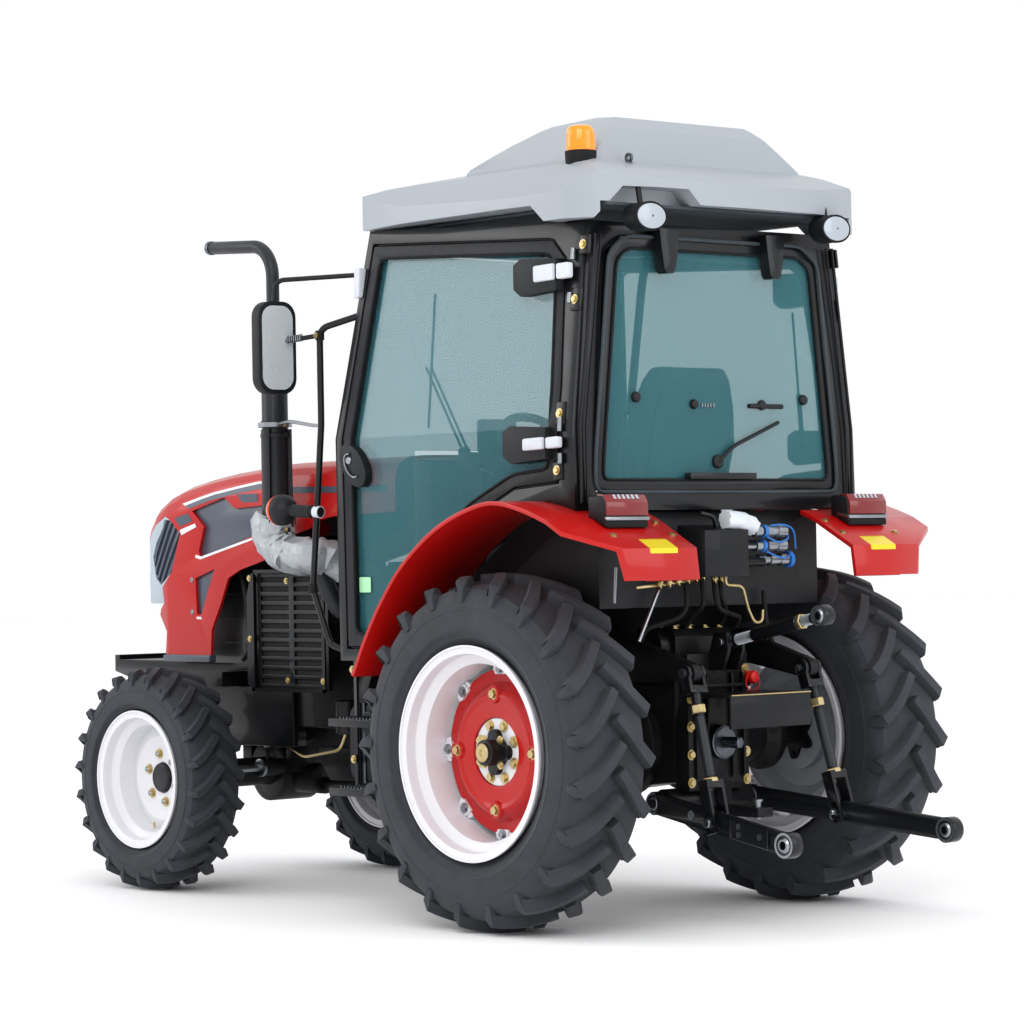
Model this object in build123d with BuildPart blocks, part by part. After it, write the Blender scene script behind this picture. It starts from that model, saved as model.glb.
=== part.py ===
from build123d import *
from math import atan2, cos, hypot, pi, sin, sqrt
import os

# Farm tractor with a cab, four-wheel drive and a rear three-point linkage.
# Millimetres. +X forward, +Y to the driver's left, +Z up, ground at Z = 0.
# Lengths along the tractor are given ahead of the rear axle.

# ---- driving dimensions --------------------------------------------------
WHEELBASE = 2280
REAR_END = -1115          # back of the lower links' ball sockets
FRONT_END = 3115          # front of the weight carrier
REAR_AXLE_X = -(REAR_END + FRONT_END) / 2

REAR_RADIUS = 632         # 13.6-28 tyre, lug tips
REAR_WIDTH = 345
REAR_TRACK = 1480
REAR_RIM_HALF = 166
REAR_BEAD_RADIUS = 358

FRONT_RADIUS = 447        # 9.5-20 tyre, lug tips
FRONT_WIDTH = 245
FRONT_TRACK = 1260
FRONT_RIM_HALF = 115
FRONT_BEAD_RADIUS = 255
KINGPIN_LEFT = 470

GAP = 6                   # between pieces that move past each other

SIDES = (("left", 1), ("right", -1))


# ---- planes and helpers --------------------------------------------------
def side_plane(left=0):
    """Upright plane along the tractor: x ahead of the rear axle, y up, normal to the right."""
    return Plane(origin=(REAR_AXLE_X, left, 0), x_dir=(1, 0, 0), z_dir=(0, -1, 0))


def cross_plane(ahead, left=0, height=0, side=1):
    """Upright plane across the tractor: x outboard on the given side, y up."""
    return Plane(origin=(REAR_AXLE_X + ahead, side * left, height), x_dir=(0, side, 0), z_dir=(side, 0, 0))


def deck_plane(height, ahead=0, left=0):
    """Level plane: x forward, y to the left."""
    return Plane(origin=(REAR_AXLE_X + ahead, left, height))


def cross_axis(ahead, height):
    """Axis across the tractor, to the left."""
    return Axis((REAR_AXLE_X + ahead, 0, height), (0, 1, 0))


def keep(piece, name):
    """Label a finished piece and write it as a node."""
    piece.label = name
    export_step(piece, f"parts/{name}.step")


def outline(points, mode=Mode.ADD):
    """Closed face through the points, inside a sketch."""
    Polygon(*points, align=None, mode=mode)


def rod_between(start, end, radius):
    """Round bar between two points, inside a part."""
    start, end = Vector(*start), Vector(*end)
    with BuildSketch(Plane(origin=start, z_dir=end - start)) as section:
        Circle(radius)
    extrude(section.sketch, amount=(end - start).length)


def tube_along(points, bend, radius):
    """Round tube through the points with rounded corners, inside a part."""
    with BuildLine() as route:
        FilletPolyline(*points, radius=bend)
    with BuildSketch(Plane(origin=route.line @ 0, z_dir=route.line % 0)) as section:
        Circle(radius)
    sweep(section.sketch, path=route.line)


def at(ahead, left, height):
    """Point in the tractor's frame."""
    return (REAR_AXLE_X + ahead, left, height)


os.makedirs("parts", exist_ok=True)


# ---- tyres: a casing of flat panels with the tread's bars fused to it ----
CASING_SIDES = 20
TYRES = (
    # name, ahead, radius, width, half track, rim half width, bead radius, bars a side, bar height, trail, bar width
    ("rear_tyre", 0, REAR_RADIUS, REAR_WIDTH, REAR_TRACK / 2, REAR_RIM_HALF, REAR_BEAD_RADIUS, 21, 36, 168, 48),
    ("front_tyre", WHEELBASE, FRONT_RADIUS, FRONT_WIDTH, FRONT_TRACK / 2, FRONT_RIM_HALF, FRONT_BEAD_RADIUS,
     22, 26, 112, 34),
)


def casing(ahead, left, height, rows):
    """Ring of flat panels about an axle; rows is its closed section, outboard and radius."""
    rings = []
    for k in range(CASING_SIDES):
        turn = 2 * pi * k / CASING_SIDES
        rings.append([Vector(*at(ahead + radius * sin(turn), left + across, height + radius * cos(turn)))
                      for across, radius in rows])
    panels = [Face(Wire.make_polygon([rings[k - 1][i - 1], rings[k - 1][i], rings[k][i], rings[k][i - 1]]))
              for k in range(CASING_SIDES) for i in range(len(rows))]
    return Solid(Shell(panels))


for tyre_name, ahead, radius, width, left, rim_half, bead, bars, bar, trail, bar_width in TYRES:
    half, crown = width / 2, radius - bar
    wall = crown - bead
    swell = 1 / cos(pi / CASING_SIDES)
    rows = [(x, r * swell) for x, r in (
        (half - 30, bead + 0.55 * wall), (rim_half - 50, bead + 2), (rim_half - 20, bead + 2),
        (half, bead + 0.5 * wall), (0.9 * half, crown))]
    rows += [(-x, r) for x, r in reversed(rows)]
    # each bar runs out from the tread's middle to the shoulder and trails as it goes
    inner, outer = 0, 0.95 * half
    size = hypot(outer - inner, trail)
    aside, along = bar_width / 2 * trail / size, bar_width / 2 * (outer - inner) / size
    wide = bar_width / 2 * size / (outer - inner)
    bar_plan = ((inner - aside, along - trail / 2), (inner + aside, -along - trail / 2),
                (outer, trail / 2 - wide), (outer, trail / 2 + wide))
    tip = trail / 2 + wide
    bar_top = sqrt(radius ** 2 - tip ** 2)
    for side_name, side in SIDES:
        axle = Vector(*at(ahead, side * left, radius))
        with BuildPart() as tyre:
            add(casing(ahead, side * left, radius, rows))
            for hand in (1, -1):
                facings = []
                for k in range(bars):
                    turn = pi + atan2(tip, bar_top) + 2 * pi * (k + (0 if hand * side > 0 else 0.5)) / bars
                    out = Vector(sin(turn), 0, cos(turn))
                    facings.append(Plane(origin=axle + out * bar_top, x_dir=(0, hand, 0), z_dir=out))
                with BuildSketch(*facings):
                    outline([(x, hand * y) for x, y in bar_plan])
                extrude(amount=-(bar_top - crown + 0.36 * wall))
        keep(tyre.part, f"{tyre_name}_{side_name}")


# ---- rims, discs and hubs ------------------------------------------------
def rim_section(half, bead_radius, well_radius):
    """Rolled rim, cut across: flanges, bead seats and a drop well."""
    steel = 8
    outer = ((half, bead_radius + 23), (half - 13, bead_radius + 22), (half - 16, bead_radius),
             (half - 54, bead_radius - 3), (half - 74, well_radius))
    outline(outer + tuple((-x, y) for x, y in reversed(outer))
            + tuple((-x, y) for x, y in ((half, bead_radius + 15), (half - 6, bead_radius + 14),
                                         (half - 9, bead_radius - steel), (half - 50, bead_radius - 11),
                                         (half - 70, well_radius - steel)))
            + tuple(reversed(((half, bead_radius + 15), (half - 6, bead_radius + 14),
                              (half - 9, bead_radius - steel), (half - 50, bead_radius - 11),
                              (half - 70, well_radius - steel)))))


REAR_WELL_RADIUS = 322
REAR_DISC_FACE = -12      # outboard of the tyre's middle plane
REAR_DISH = 45            # the disc's middle stands outboard of its rim by this
REAR_DISC_RADIUS = 302
RIM_CLAMPS = 8
for side_name, side in SIDES:
    rear_plane = cross_plane(0, REAR_TRACK / 2, REAR_RADIUS, side)
    disc_plane = Plane(origin=rear_plane.origin + Vector(0, side * REAR_DISC_FACE, 0),
                       x_dir=(1, 0, 0), z_dir=(0, side, 0))

    with BuildPart() as rear_rim:
        with BuildSketch(rear_plane):
            rim_section(REAR_RIM_HALF, REAR_BEAD_RADIUS, REAR_WELL_RADIUS)
        revolve(axis=cross_axis(0, REAR_RADIUS))
        with BuildSketch(disc_plane):
            with PolarLocations(REAR_DISC_RADIUS + 5, RIM_CLAMPS):
                Rectangle(26, 44)
        extrude(amount=-22)
    keep(rear_rim.part, f"rear_rim_{side_name}")

    with BuildPart() as rear_disc:
        with BuildSketch(rear_plane):
            outline(((REAR_DISC_FACE + REAR_DISH - 10, 120), (REAR_DISC_FACE + REAR_DISH, 122),
                     (REAR_DISC_FACE + REAR_DISH, 185), (REAR_DISC_FACE + REAR_DISH + 8, 200),
                     (REAR_DISC_FACE + REAR_DISH - 2, 216), (REAR_DISC_FACE + 10, 248),
                     (REAR_DISC_FACE + 10, 292), (REAR_DISC_FACE, 292), (REAR_DISC_FACE, 243),
                     (REAR_DISC_FACE + REAR_DISH - 10, 208)))
        revolve(axis=cross_axis(0, REAR_RADIUS))
        with BuildSketch(disc_plane):
            with PolarLocations(REAR_DISC_RADIUS - 15, RIM_CLAMPS):
                Rectangle(30, 70)
        extrude(amount=10)
    keep(rear_disc.part, f"rear_disc_{side_name}")

    with BuildPart() as rear_hub:
        with BuildSketch(rear_plane):
            outline(((-320, 0), (-320, 38), (REAR_DISC_FACE, 38), (REAR_DISC_FACE, 136),
                     (REAR_DISC_FACE + REAR_DISH - 10, 136), (REAR_DISC_FACE + REAR_DISH - 10, 46),
                     (88, 46), (88, 36), (96, 34), (96, 0)))
        revolve(axis=cross_axis(0, REAR_RADIUS))
        # lobed casting over the flange
        with BuildSketch(Plane(origin=rear_plane.origin + Vector(0, side * (REAR_DISC_FACE + REAR_DISH - 10), 0),
                               x_dir=(1, 0, 0), z_dir=(0, side, 0))):
            with PolarLocations(54, 4, start_angle=90):
                Circle(27)
            Circle(56)
        extrude(amount=26)
    keep(rear_hub.part, f"rear_hub_{side_name}")

FRONT_WELL_RADIUS = 224
FRONT_DISC_FACE = -30
for side_name, side in SIDES:
    front_plane = cross_plane(WHEELBASE, FRONT_TRACK / 2, FRONT_RADIUS, side)
    with BuildPart() as front_rim:
        with BuildSketch(front_plane):
            rim_section(FRONT_RIM_HALF, FRONT_BEAD_RADIUS, FRONT_WELL_RADIUS)
        revolve(axis=cross_axis(WHEELBASE, FRONT_RADIUS))
        with BuildSketch(front_plane):
            outline(((FRONT_DISC_FACE - 6, 217), (FRONT_DISC_FACE + 4, 217), (FRONT_DISC_FACE + 20, 170),
                     (FRONT_DISC_FACE + 10, 130), (FRONT_DISC_FACE + 10, 62), (FRONT_DISC_FACE, 62),
                     (FRONT_DISC_FACE, 130), (FRONT_DISC_FACE + 10, 170)))
        revolve(axis=cross_axis(WHEELBASE, FRONT_RADIUS))
    keep(front_rim.part, f"front_rim_{side_name}")

    with BuildPart() as front_hub:
        with BuildSketch(front_plane):
            outline(((-88, 0), (-88, 30), (FRONT_DISC_FACE - 16, 30), (FRONT_DISC_FACE - 16, 100),
                     (FRONT_DISC_FACE, 125), (FRONT_DISC_FACE, 61), (FRONT_DISC_FACE + 20, 59),
                     (FRONT_DISC_FACE + 26, 52), (FRONT_DISC_FACE + 26, 0)))
        revolve(axis=cross_axis(WHEELBASE, FRONT_RADIUS))
    keep(front_hub.part, f"front_hub_{side_name}")


# ---- front axle ----------------------------------------------------------
KINGPIN_RADIUS = 22
BOSS_RADIUS = 55
BOSS_HALF = 62
BEAM_RADIUS = 58
with BuildPart() as front_axle:
    with BuildSketch(side_plane(KINGPIN_LEFT - 30)):
        with Locations((WHEELBASE, FRONT_RADIUS)):
            Circle(BEAM_RADIUS)
    extrude(amount=2 * (KINGPIN_LEFT - 30))
    # differential housing and the pinion nose towards the gearbox
    with BuildSketch(side_plane(75)):
        with Locations((WHEELBASE, FRONT_RADIUS)):
            Circle(125)
    extrude(amount=190)
    with BuildSketch(cross_plane(WHEELBASE, -20, FRONT_RADIUS - 30)):
        Circle(62)
    extrude(amount=-260)
    with BuildSketch(deck_plane(FRONT_RADIUS - BOSS_HALF, WHEELBASE)):
        with Locations((0, KINGPIN_LEFT), (0, -KINGPIN_LEFT)):
            Circle(BOSS_RADIUS)
    extrude(amount=2 * BOSS_HALF)
    # pivot trunnions under the front frame
    with BuildSketch(deck_plane(FRONT_RADIUS, WHEELBASE)):
        with Locations((150, 0), (-150, 0)):
            Rectangle(60, 150)
        Rectangle(320, 90)
    extrude(amount=103)
    with BuildSketch(deck_plane(0, WHEELBASE)):
        with Locations((0, KINGPIN_LEFT), (0, -KINGPIN_LEFT)):
            Circle(KINGPIN_RADIUS + 0.05)
    extrude(amount=900, mode=Mode.SUBTRACT)
    # steering cylinder along the back of the beam
    with BuildSketch(side_plane(190)):
        with Locations((WHEELBASE - 92, FRONT_RADIUS + 20)):
            Circle(34)
    extrude(amount=380)
keep(front_axle.part, "front_axle")

for side_name, side in SIDES:
    knuckle_plane = cross_plane(WHEELBASE, KINGPIN_LEFT, FRONT_RADIUS, side)
    with BuildPart() as knuckle:
        with BuildSketch(knuckle_plane):
            with Locations((19, BOSS_HALF + GAP + 17), (19, -BOSS_HALF - GAP - 17)):
                Rectangle(134, 34)
            with Locations((74, 0)):
                Rectangle(24, 2 * (BOSS_HALF + GAP + 34))
        extrude(amount=52, both=True)
        with BuildSketch(deck_plane(FRONT_RADIUS - BOSS_HALF - GAP - 20, WHEELBASE, side * KINGPIN_LEFT)):
            Circle(KINGPIN_RADIUS)
        extrude(amount=2 * (BOSS_HALF + GAP + 20))
        with BuildSketch(Plane(origin=at(WHEELBASE, side * (KINGPIN_LEFT + 64), FRONT_RADIUS),
                               x_dir=(1, 0, 0), z_dir=(0, side, 0))):
            Circle(108)
        extrude(amount=44)
        with BuildSketch(Plane(origin=at(WHEELBASE, side * (KINGPIN_LEFT + 70), FRONT_RADIUS),
                               x_dir=(1, 0, 0), z_dir=(0, side, 0))):
            Circle(30.05)
        extrude(amount=60, mode=Mode.SUBTRACT)
        # steering arm, over the cylinder's end
        with BuildSketch(deck_plane(FRONT_RADIUS + BOSS_HALF + GAP + 10, WHEELBASE, side * KINGPIN_LEFT)):
            outline(((-40, side * 30), (-40, side * -30), (-150, side * -40), (-150, side * -5)))
        extrude(amount=20)
    keep(knuckle.part, f"knuckle_{side_name}")


# ---- front frame, engine, drive line -------------------------------------
FRAME_HALF = 185
RAIL = 24
FRAME_BOTTOM = 550
DECK_TOP = 905
with BuildPart() as front_frame:
    with BuildSketch(side_plane()):
        outline(((1960, 560), (2900, FRAME_BOTTOM), (2900, 760), (2840, 800), (1960, 800)))
    extrude(amount=FRAME_HALF, both=True)
    with BuildSketch(deck_plane(FRAME_BOTTOM - 10)):
        with Locations(((1960 + 2800) / 2 - 20, 0)):
            Rectangle(800, 2 * (FRAME_HALF - RAIL))
    extrude(amount=400, mode=Mode.SUBTRACT)
    # axle saddle between the rails
    with BuildSketch(deck_plane(FRAME_BOTTOM)):
        with Locations((WHEELBASE + 150, 0), (WHEELBASE - 150, 0)):
            Rectangle(70, 2 * FRAME_HALF)
    extrude(amount=80)
    # radiator deck and weight carrier
    with BuildSketch(side_plane()):
        outline(((2330, 800), (2880, 800), (FRONT_END, 855), (FRONT_END, 925), (3080, 925), (3080, DECK_TOP),
                 (2060, DECK_TOP), (2060, 880), (2330, 860)))
    extrude(amount=270, both=True)
keep(front_frame.part, "front_frame")

ENGINE_REAR, ENGINE_FRONT = 1400, 1960
with BuildPart() as engine:
    with BuildSketch(side_plane()):
        outline(((ENGINE_REAR, 640), (ENGINE_FRONT, 640), (ENGINE_FRONT, 1180), (ENGINE_REAR, 1180)))
    extrude(amount=170, both=True)
    with BuildSketch(side_plane()):
        outline(((ENGINE_REAR, 430), (1800, 430), (1900, 540), (ENGINE_FRONT, 560), (ENGINE_FRONT, 640),
                 (ENGINE_REAR, 640)))
    extrude(amount=125, both=True)
    with BuildSketch(side_plane()):
        outline(((1450, 1180), (1900, 1180), (1880, 1290), (1470, 1290)))
    extrude(amount=95, both=True)
keep(engine.part, "engine")

FAN_HEIGHT = 1118
with BuildPart() as radiator:
    with BuildSketch(cross_plane(2220)):
        with Locations((0, (DECK_TOP + 1420) / 2)):
            Rectangle(500, 1420 - DECK_TOP)
    extrude(amount=90)
    # fan cowl behind the core, and the fan's hub on its shaft
    with BuildSketch(cross_plane(2070)):
        with Locations((0, (DECK_TOP + 1330) / 2)):
            Rectangle(460, 1330 - DECK_TOP)
    extrude(amount=150)
    with BuildSketch(cross_plane(2060)):
        with Locations((0, FAN_HEIGHT)):
            Circle(195)
    extrude(amount=150, mode=Mode.SUBTRACT)
    with BuildSketch(cross_plane(ENGINE_FRONT)):
        with Locations((0, FAN_HEIGHT)):
            Circle(55)
    extrude(amount=250)
keep(radiator.part, "radiator")

SCREEN_REAR, SCREEN_FRONT = 1530, 2010
SCREEN_BOTTOM, SCREEN_TOP = 800, 1275
SCREEN_LEFT = 330
SCREEN_THICK = 16
SLAT_ROWS = 12
with BuildPart() as side_screens:
    for side_name, side in SIDES:
        with BuildSketch(side_plane(side * SCREEN_LEFT)):
            with Locations(((SCREEN_REAR + SCREEN_FRONT) / 2, (SCREEN_BOTTOM + SCREEN_TOP) / 2)):
                Rectangle(SCREEN_FRONT - SCREEN_REAR, SCREEN_TOP - SCREEN_BOTTOM)
                with GridLocations(222, (SCREEN_TOP - SCREEN_BOTTOM - 30) / SLAT_ROWS, 2, SLAT_ROWS):
                    Rectangle(190, 22, mode=Mode.SUBTRACT)
        extrude(amount=side * SCREEN_THICK)
        # brackets to the engine
        with BuildSketch(side_plane(side * (SCREEN_LEFT - SCREEN_THICK))):
            with Locations(((SCREEN_REAR + SCREEN_FRONT) / 2, 900), ((SCREEN_REAR + SCREEN_FRONT) / 2, 1160)):
                Rectangle(40, 14)
        extrude(amount=side * (SCREEN_LEFT - SCREEN_THICK - 170))
keep(side_screens.part, "side_screens")

GEARBOX_TOP = 850
with BuildPart() as transmission:
    with BuildSketch(side_plane()):
        outline(((-260, 500), (-150, 490), (250, 440), (1300, 430), (ENGINE_REAR, 400), (ENGINE_REAR, 1080), (1300, 1080),
                 (1180, 900), (250, GEARBOX_TOP), (-260, GEARBOX_TOP)))
    extrude(amount=150, both=True)
    with BuildSketch(cross_plane(1330)):
        with Locations((0, 740)):
            Circle(300)
    extrude(amount=70)
    # axle trumpets
    for side_name, side in SIDES:
        with BuildSketch(cross_plane(0, 0, REAR_RADIUS, side)):
            outline(((140, 0), (140, 190), (190, 190), (230, 120), (480, 95), (520, 130), (550, 130),
                     (550, 38.05), (400, 38.05), (400, 0)))
        revolve(axis=cross_axis(0, REAR_RADIUS))
    # drop box for the front drive and its guarded shaft
    with BuildSketch(side_plane()):
        outline(((560, 380), (760, 380), (800, 440), (520, 440)))
    extrude(amount=110, both=True)
    with BuildSketch(cross_plane(760, -20, 397)):
        Circle(28)
    extrude(amount=WHEELBASE - 260 - 760)
keep(transmission.part, "transmission")


# ---- hood ----------------------------------------------------------------
HOOD_WALL = 12
HOOD_STATIONS = (  # ahead, half width, height of the shoulder
    (1075, 345, 1712), (1830, 345, 1706), (2189, 345, 1678), (2365, 345, 1656), (2507, 345, 1632),
    (2600, 345, 1606), (2700, 335, 1562), (2800, 296, 1500), (2880, 222, 1432), (2935, 125, 1375),
    (2955, 40, 1330),
)
HOOD_SIDE = ((1075, 1800), (3000, 1800), (3000, 1147), (2700, 1147), (2660, 1136), (2672, 1100), (2618, 1030),
             (2630, 935), (2304, 935), (2295, 1038), (2226, 1151), (2175, 1250), (2091, 1284), (1879, 1331),
             (1790, 1350), (1773, 1414), (1624, 1441), (1556, 1477), (1467, 1489), (1075, 1500))
NOSE_OPENING = ((2617, 1512), (2684, 1484), (2757, 1449), (2800, 1415), (2850, 1370), (2900, 1315), (2970, 1290),
                (2970, 1100), (2690, 1100), (2636, 1150), (2650, 1215), (2577, 1274), (2510, 1438), (2577, 1493))
NOSE_GRILLE = ((2624, 1498), (2577, 1493), (2510, 1438), (2577, 1274), (2663, 1224), (2712, 1260), (2750, 1340),
               (2686, 1412), (2640, 1462))
LEG_WINDOW = ((2405, 1251), (2270, 1289), (2366, 1102), (2397, 1102))
SIDE_WINDOW = ((2421, 1530), (2195, 1581), (2119, 1534), (1960, 1541), (1880, 1547), (1880, 1440), (1963, 1429),
               (2232, 1363), (2366, 1336), (2377, 1365), (2338, 1464))


def hood_shell(depth, thick):
    """Skin of the hood without its underside, between two depths under its outer face."""
    lofts = []
    for inset in (depth, depth + thick):
        wires = []
        for ahead, half, height in HOOD_STATIONS:
            share = half / HOOD_STATIONS[0][1]
            wide, top = half - inset, height - inset
            left = ((wide, 900), (wide, top - 95 * share), (wide - 10 * share, top - 50 * share),
                    (wide - 30 * share, top - 22 * share), (wide - 75 * share, top),
                    (wide - 150 * share, top + 6 * share), (0, top + 8))
            forward = ahead - inset if half < 100 else ahead
            wires.append(Wire.make_polygon([at(forward, y, z) for y, z in left]
                                           + [at(forward, -y, z) for y, z in reversed(left[:-1])]))
        lofts.append(Solid.make_loft(wires, ruled=True))
    return lofts[0] - lofts[1]


def side_cut(points, spread=0):
    """Prism right across the hood, its outline given from the side."""
    with BuildSketch(side_plane()) as section:
        Polygon(*points, align=None)
        if spread:
            offset(amount=spread, kind=Kind.INTERSECTION)
    extrude(section.sketch, amount=400, both=True)


with BuildPart() as hood_windows:
    for points in (NOSE_OPENING, LEG_WINDOW, SIDE_WINDOW):
        side_cut(points)
with BuildPart() as hood_outline:
    side_cut(HOOD_SIDE)
hood = hood_shell(0, HOOD_WALL) & hood_outline.part - hood_windows.part
with BuildPart() as hood_rear:
    # rib across the inside at the hinge
    with BuildSketch(cross_plane(1087)):
        outline(((-333, 1600), (333, 1600), (323, 1650), (303, 1678), (258, 1700), (-258, 1700), (-303, 1678),
                 (-323, 1650)))
        outline(((-300, 1590), (300, 1590), (280, 1660), (-280, 1660)), Mode.SUBTRACT)
    extrude(amount=16)
keep(hood + hood_rear.part, "hood")

# lamp fascia round the nose, open for the grilles
with BuildPart() as fascia:
    side_cut(NOSE_OPENING)
with BuildPart() as fascia_open:
    side_cut(NOSE_GRILLE)
    with BuildSketch(cross_plane(2700)):
        outline(((-170, 1185), (170, 1185), (150, 1285), (-150, 1285)))
    extrude(amount=400)
fascia_skin = hood_shell(0, HOOD_WALL) & fascia.part - fascia_open.part
with BuildPart() as fascia_foot:
    with BuildSketch(deck_plane(1050, 2500)):
        Rectangle(1200, 800)
    extrude(amount=97)
keep(fascia_skin - fascia_foot.part, "headlamps")

with BuildPart() as grille_bars:
    for k in range(9):
        low = 2440 + 42 * k
        side_cut(((low + 60, 1215), (low + 74, 1215), (low - 126, 1515), (low - 140, 1515)))
with BuildPart() as nose_grille:
    side_cut(NOSE_GRILLE)
with BuildPart() as front_grille:
    with BuildSketch(cross_plane(2700)):
        outline(((-170, 1185), (170, 1185), (150, 1285), (-150, 1285)))
    extrude(amount=400)
with BuildPart() as front_slats:
    for k in range(5):
        with BuildSketch(cross_plane(2700)):
            with Locations((0, 1196 + 19.5 * k)):
                Rectangle(340, 9)
        extrude(amount=400)
with BuildPart() as panels:
    side_cut(NOSE_GRILLE, 12)
    side_cut(LEG_WINDOW, 14)
    side_cut(SIDE_WINDOW, 14)
    with BuildSketch(cross_plane(2700)):
        outline(((-182, 1175), (182, 1175), (162, 1295), (-162, 1295)))
    extrude(amount=400)
grille = hood_shell(HOOD_WALL, 6) & panels.part
grille += hood_shell(3, HOOD_WALL - 3) & nose_grille.part & grille_bars.part
grille += hood_shell(3, HOOD_WALL - 3) & front_grille.part & front_slats.part
keep(grille, "grille")


# ---- cab -----------------------------------------------------------------
FENDER_INNER = 552
FENDER_OUTER = 915
FENDER_ARCH = ((640, 900), (617, 935), (565, 1027), (470, 1160), (338, 1300), (150, 1425), (-57, 1498),
               (-218, 1508), (-452, 1441), (-640, 1340))

CAB_HALF = 700            # at and under the belt
CAB_TOP_HALF = 600
BELT = 1770
CAB_TOP = 2550
CAB_REAR = -360
POST = 52
DOOR_THICK = 40
DOOR_GAP = 11
ARCH_GAP = 3
CAB_SIDE = ((CAB_REAR, 1475), (CAB_REAR + 25, 2490), (880, CAB_TOP), (985, BELT), (975, 940), (622, 940),
            *((ahead, height + ARCH_GAP) for ahead, height in FENDER_ARCH[2:8]))
DOOR_SIDE = ((845, 2488), (-170, 2430), (-245, 2360), (-275, 1900), (-270, 1580), (-40, 1565), (190, 1470),
             (370, 1350), (510, 1190), (600, 1040), (630, 995), (925, 995), (935, BELT))


def cab_section(inset, mode=Mode.ADD):
    """Cab cut across: upright under the belt, leaning in above it."""
    bottom, top = 900, 2600
    lean = (CAB_HALF - CAB_TOP_HALF) / (CAB_TOP - BELT)
    low, high = CAB_HALF - inset, CAB_HALF - inset - lean * (top - BELT)
    outline(((-low, bottom), (low, bottom), (low, BELT), (high, top), (-high, top), (-low, BELT)), mode)


with BuildPart() as cab_room:
    with BuildSketch(cross_plane(CAB_REAR)):
        cab_section(POST)
    extrude(amount=1400)
    with BuildSketch(side_plane()):
        outline(CAB_SIDE)
        offset(amount=-POST, kind=Kind.INTERSECTION)
    extrude(amount=CAB_HALF, both=True, mode=Mode.INTERSECT)

with BuildPart() as cab_frame:
    with BuildSketch(cross_plane(CAB_REAR)):
        cab_section(0)
    extrude(amount=1400)
    with BuildSketch(side_plane()):
        outline(CAB_SIDE)
    extrude(amount=CAB_HALF, both=True, mode=Mode.INTERSECT)
    add(cab_room.part, mode=Mode.SUBTRACT)
    for side_name, side in SIDES:
        with BuildSketch(side_plane(side * CAB_HALF)):
            outline(DOOR_SIDE)
            offset(amount=DOOR_GAP, kind=Kind.INTERSECTION)
        extrude(amount=side * 200, mode=Mode.SUBTRACT)
    # rear window, windscreen, open roof and open underside
    with BuildSketch(cross_plane(CAB_REAR - 20)):
        outline(((-600, 1540), (600, 1540), (600, 1640), (520, 2380), (440, 2440), (-440, 2440),
                 (-520, 2380), (-600, 1640)))
    extrude(amount=110, mode=Mode.SUBTRACT)
    with BuildSketch(cross_plane(820)):
        outline(((-640, 1000), (640, 1000), (640, BELT), (545, 2470), (-545, 2470), (-640, BELT)))
    extrude(amount=250, mode=Mode.SUBTRACT)
    with BuildSketch(deck_plane(CAB_TOP - 150)):
        with Locations((270, 0)):
            Rectangle(1110, 2 * (CAB_TOP_HALF - POST) - 20)
    extrude(amount=200, mode=Mode.SUBTRACT)
    with BuildSketch(side_plane()):
        outline(((-300, 900), (920, 900), (920, 1800), (-300, 1800)))
    extrude(amount=CAB_HALF - POST, both=True, mode=Mode.SUBTRACT)
keep(cab_frame.part, "cab_frame")

DOOR_BAR = 46
GLASS = 6
for side_name, side in SIDES:
    with BuildPart() as door:
        with BuildSketch(cross_plane(CAB_REAR)):
            cab_section(0)
            cab_section(DOOR_THICK, mode=Mode.SUBTRACT)
        extrude(amount=1400)
        with BuildSketch(side_plane(side * CAB_HALF)):
            outline(DOOR_SIDE)
        extrude(amount=side * 200, mode=Mode.INTERSECT)
        with BuildSketch(side_plane(side * (CAB_HALF + 1))):
            outline(DOOR_SIDE)
            offset(amount=-DOOR_BAR, kind=Kind.INTERSECTION)
        extrude(amount=side * 202, mode=Mode.SUBTRACT)
        # covers over the hinge arms, and the handle by the front edge
        for height, left in ((2303, 637), (1712, 700)):
            with BuildSketch(side_plane(side * (left - 12))):
                outline(((-22, height + 46), (-60, height + 66), (-248, height + 56), (-248, height - 56),
                         (-60, height - 66), (-22, height - 40)))
            extrude(amount=-side * 48)
        with BuildSketch(side_plane(side * 688)):
            with Locations(Location((858, 1668), 48)):
                Ellipse(96, 58)
        extrude(amount=-side * 34)
        with BuildSketch(side_plane(side * 664)):
            with Locations((910, 1668)):
                Rectangle(36, 70)
        extrude(amount=-side * 30)
    keep(door.part, f"door_{side_name}")

    with BuildPart() as door_glass:
        with BuildSketch(cross_plane(CAB_REAR)):
            cab_section(DOOR_THICK / 2)
            cab_section(DOOR_THICK / 2 + GLASS, mode=Mode.SUBTRACT)
        extrude(amount=1400)
        with BuildSketch(side_plane(side * CAB_HALF)):
            outline(DOOR_SIDE)
            offset(amount=-DOOR_BAR, kind=Kind.INTERSECTION)
        extrude(amount=side * 200, mode=Mode.INTERSECT)
    keep(door_glass.part, f"door_glass_{side_name}")

with BuildPart() as rear_window:
    with BuildSketch(cross_plane(CAB_REAR + 6)):
        outline(((-594, 1546), (594, 1546), (594, 1640), (514, 2376), (436, 2434), (-436, 2434),
                 (-514, 2376), (-594, 1640)))
        offset(amount=-38, kind=Kind.INTERSECTION, mode=Mode.SUBTRACT)
    extrude(amount=24)
    # hinge blocks over the top edge
    with BuildSketch(cross_plane(CAB_REAR + 8)):
        for left in (264, -264):
            outline(((left - 48, 2470), (left + 48, 2470), (left + 40, 2400), (left + 27, 2325), (left + 16, 2312),
                     (left - 16, 2312), (left - 27, 2325), (left - 40, 2400)))
    extrude(amount=-48)
    # latch bar over the sill
    with BuildSketch(cross_plane(CAB_REAR + 8)):
        with Locations((0, 1596)):
            Rectangle(330, 22)
    extrude(amount=-30)
keep(rear_window.part, "rear_window")

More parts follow.
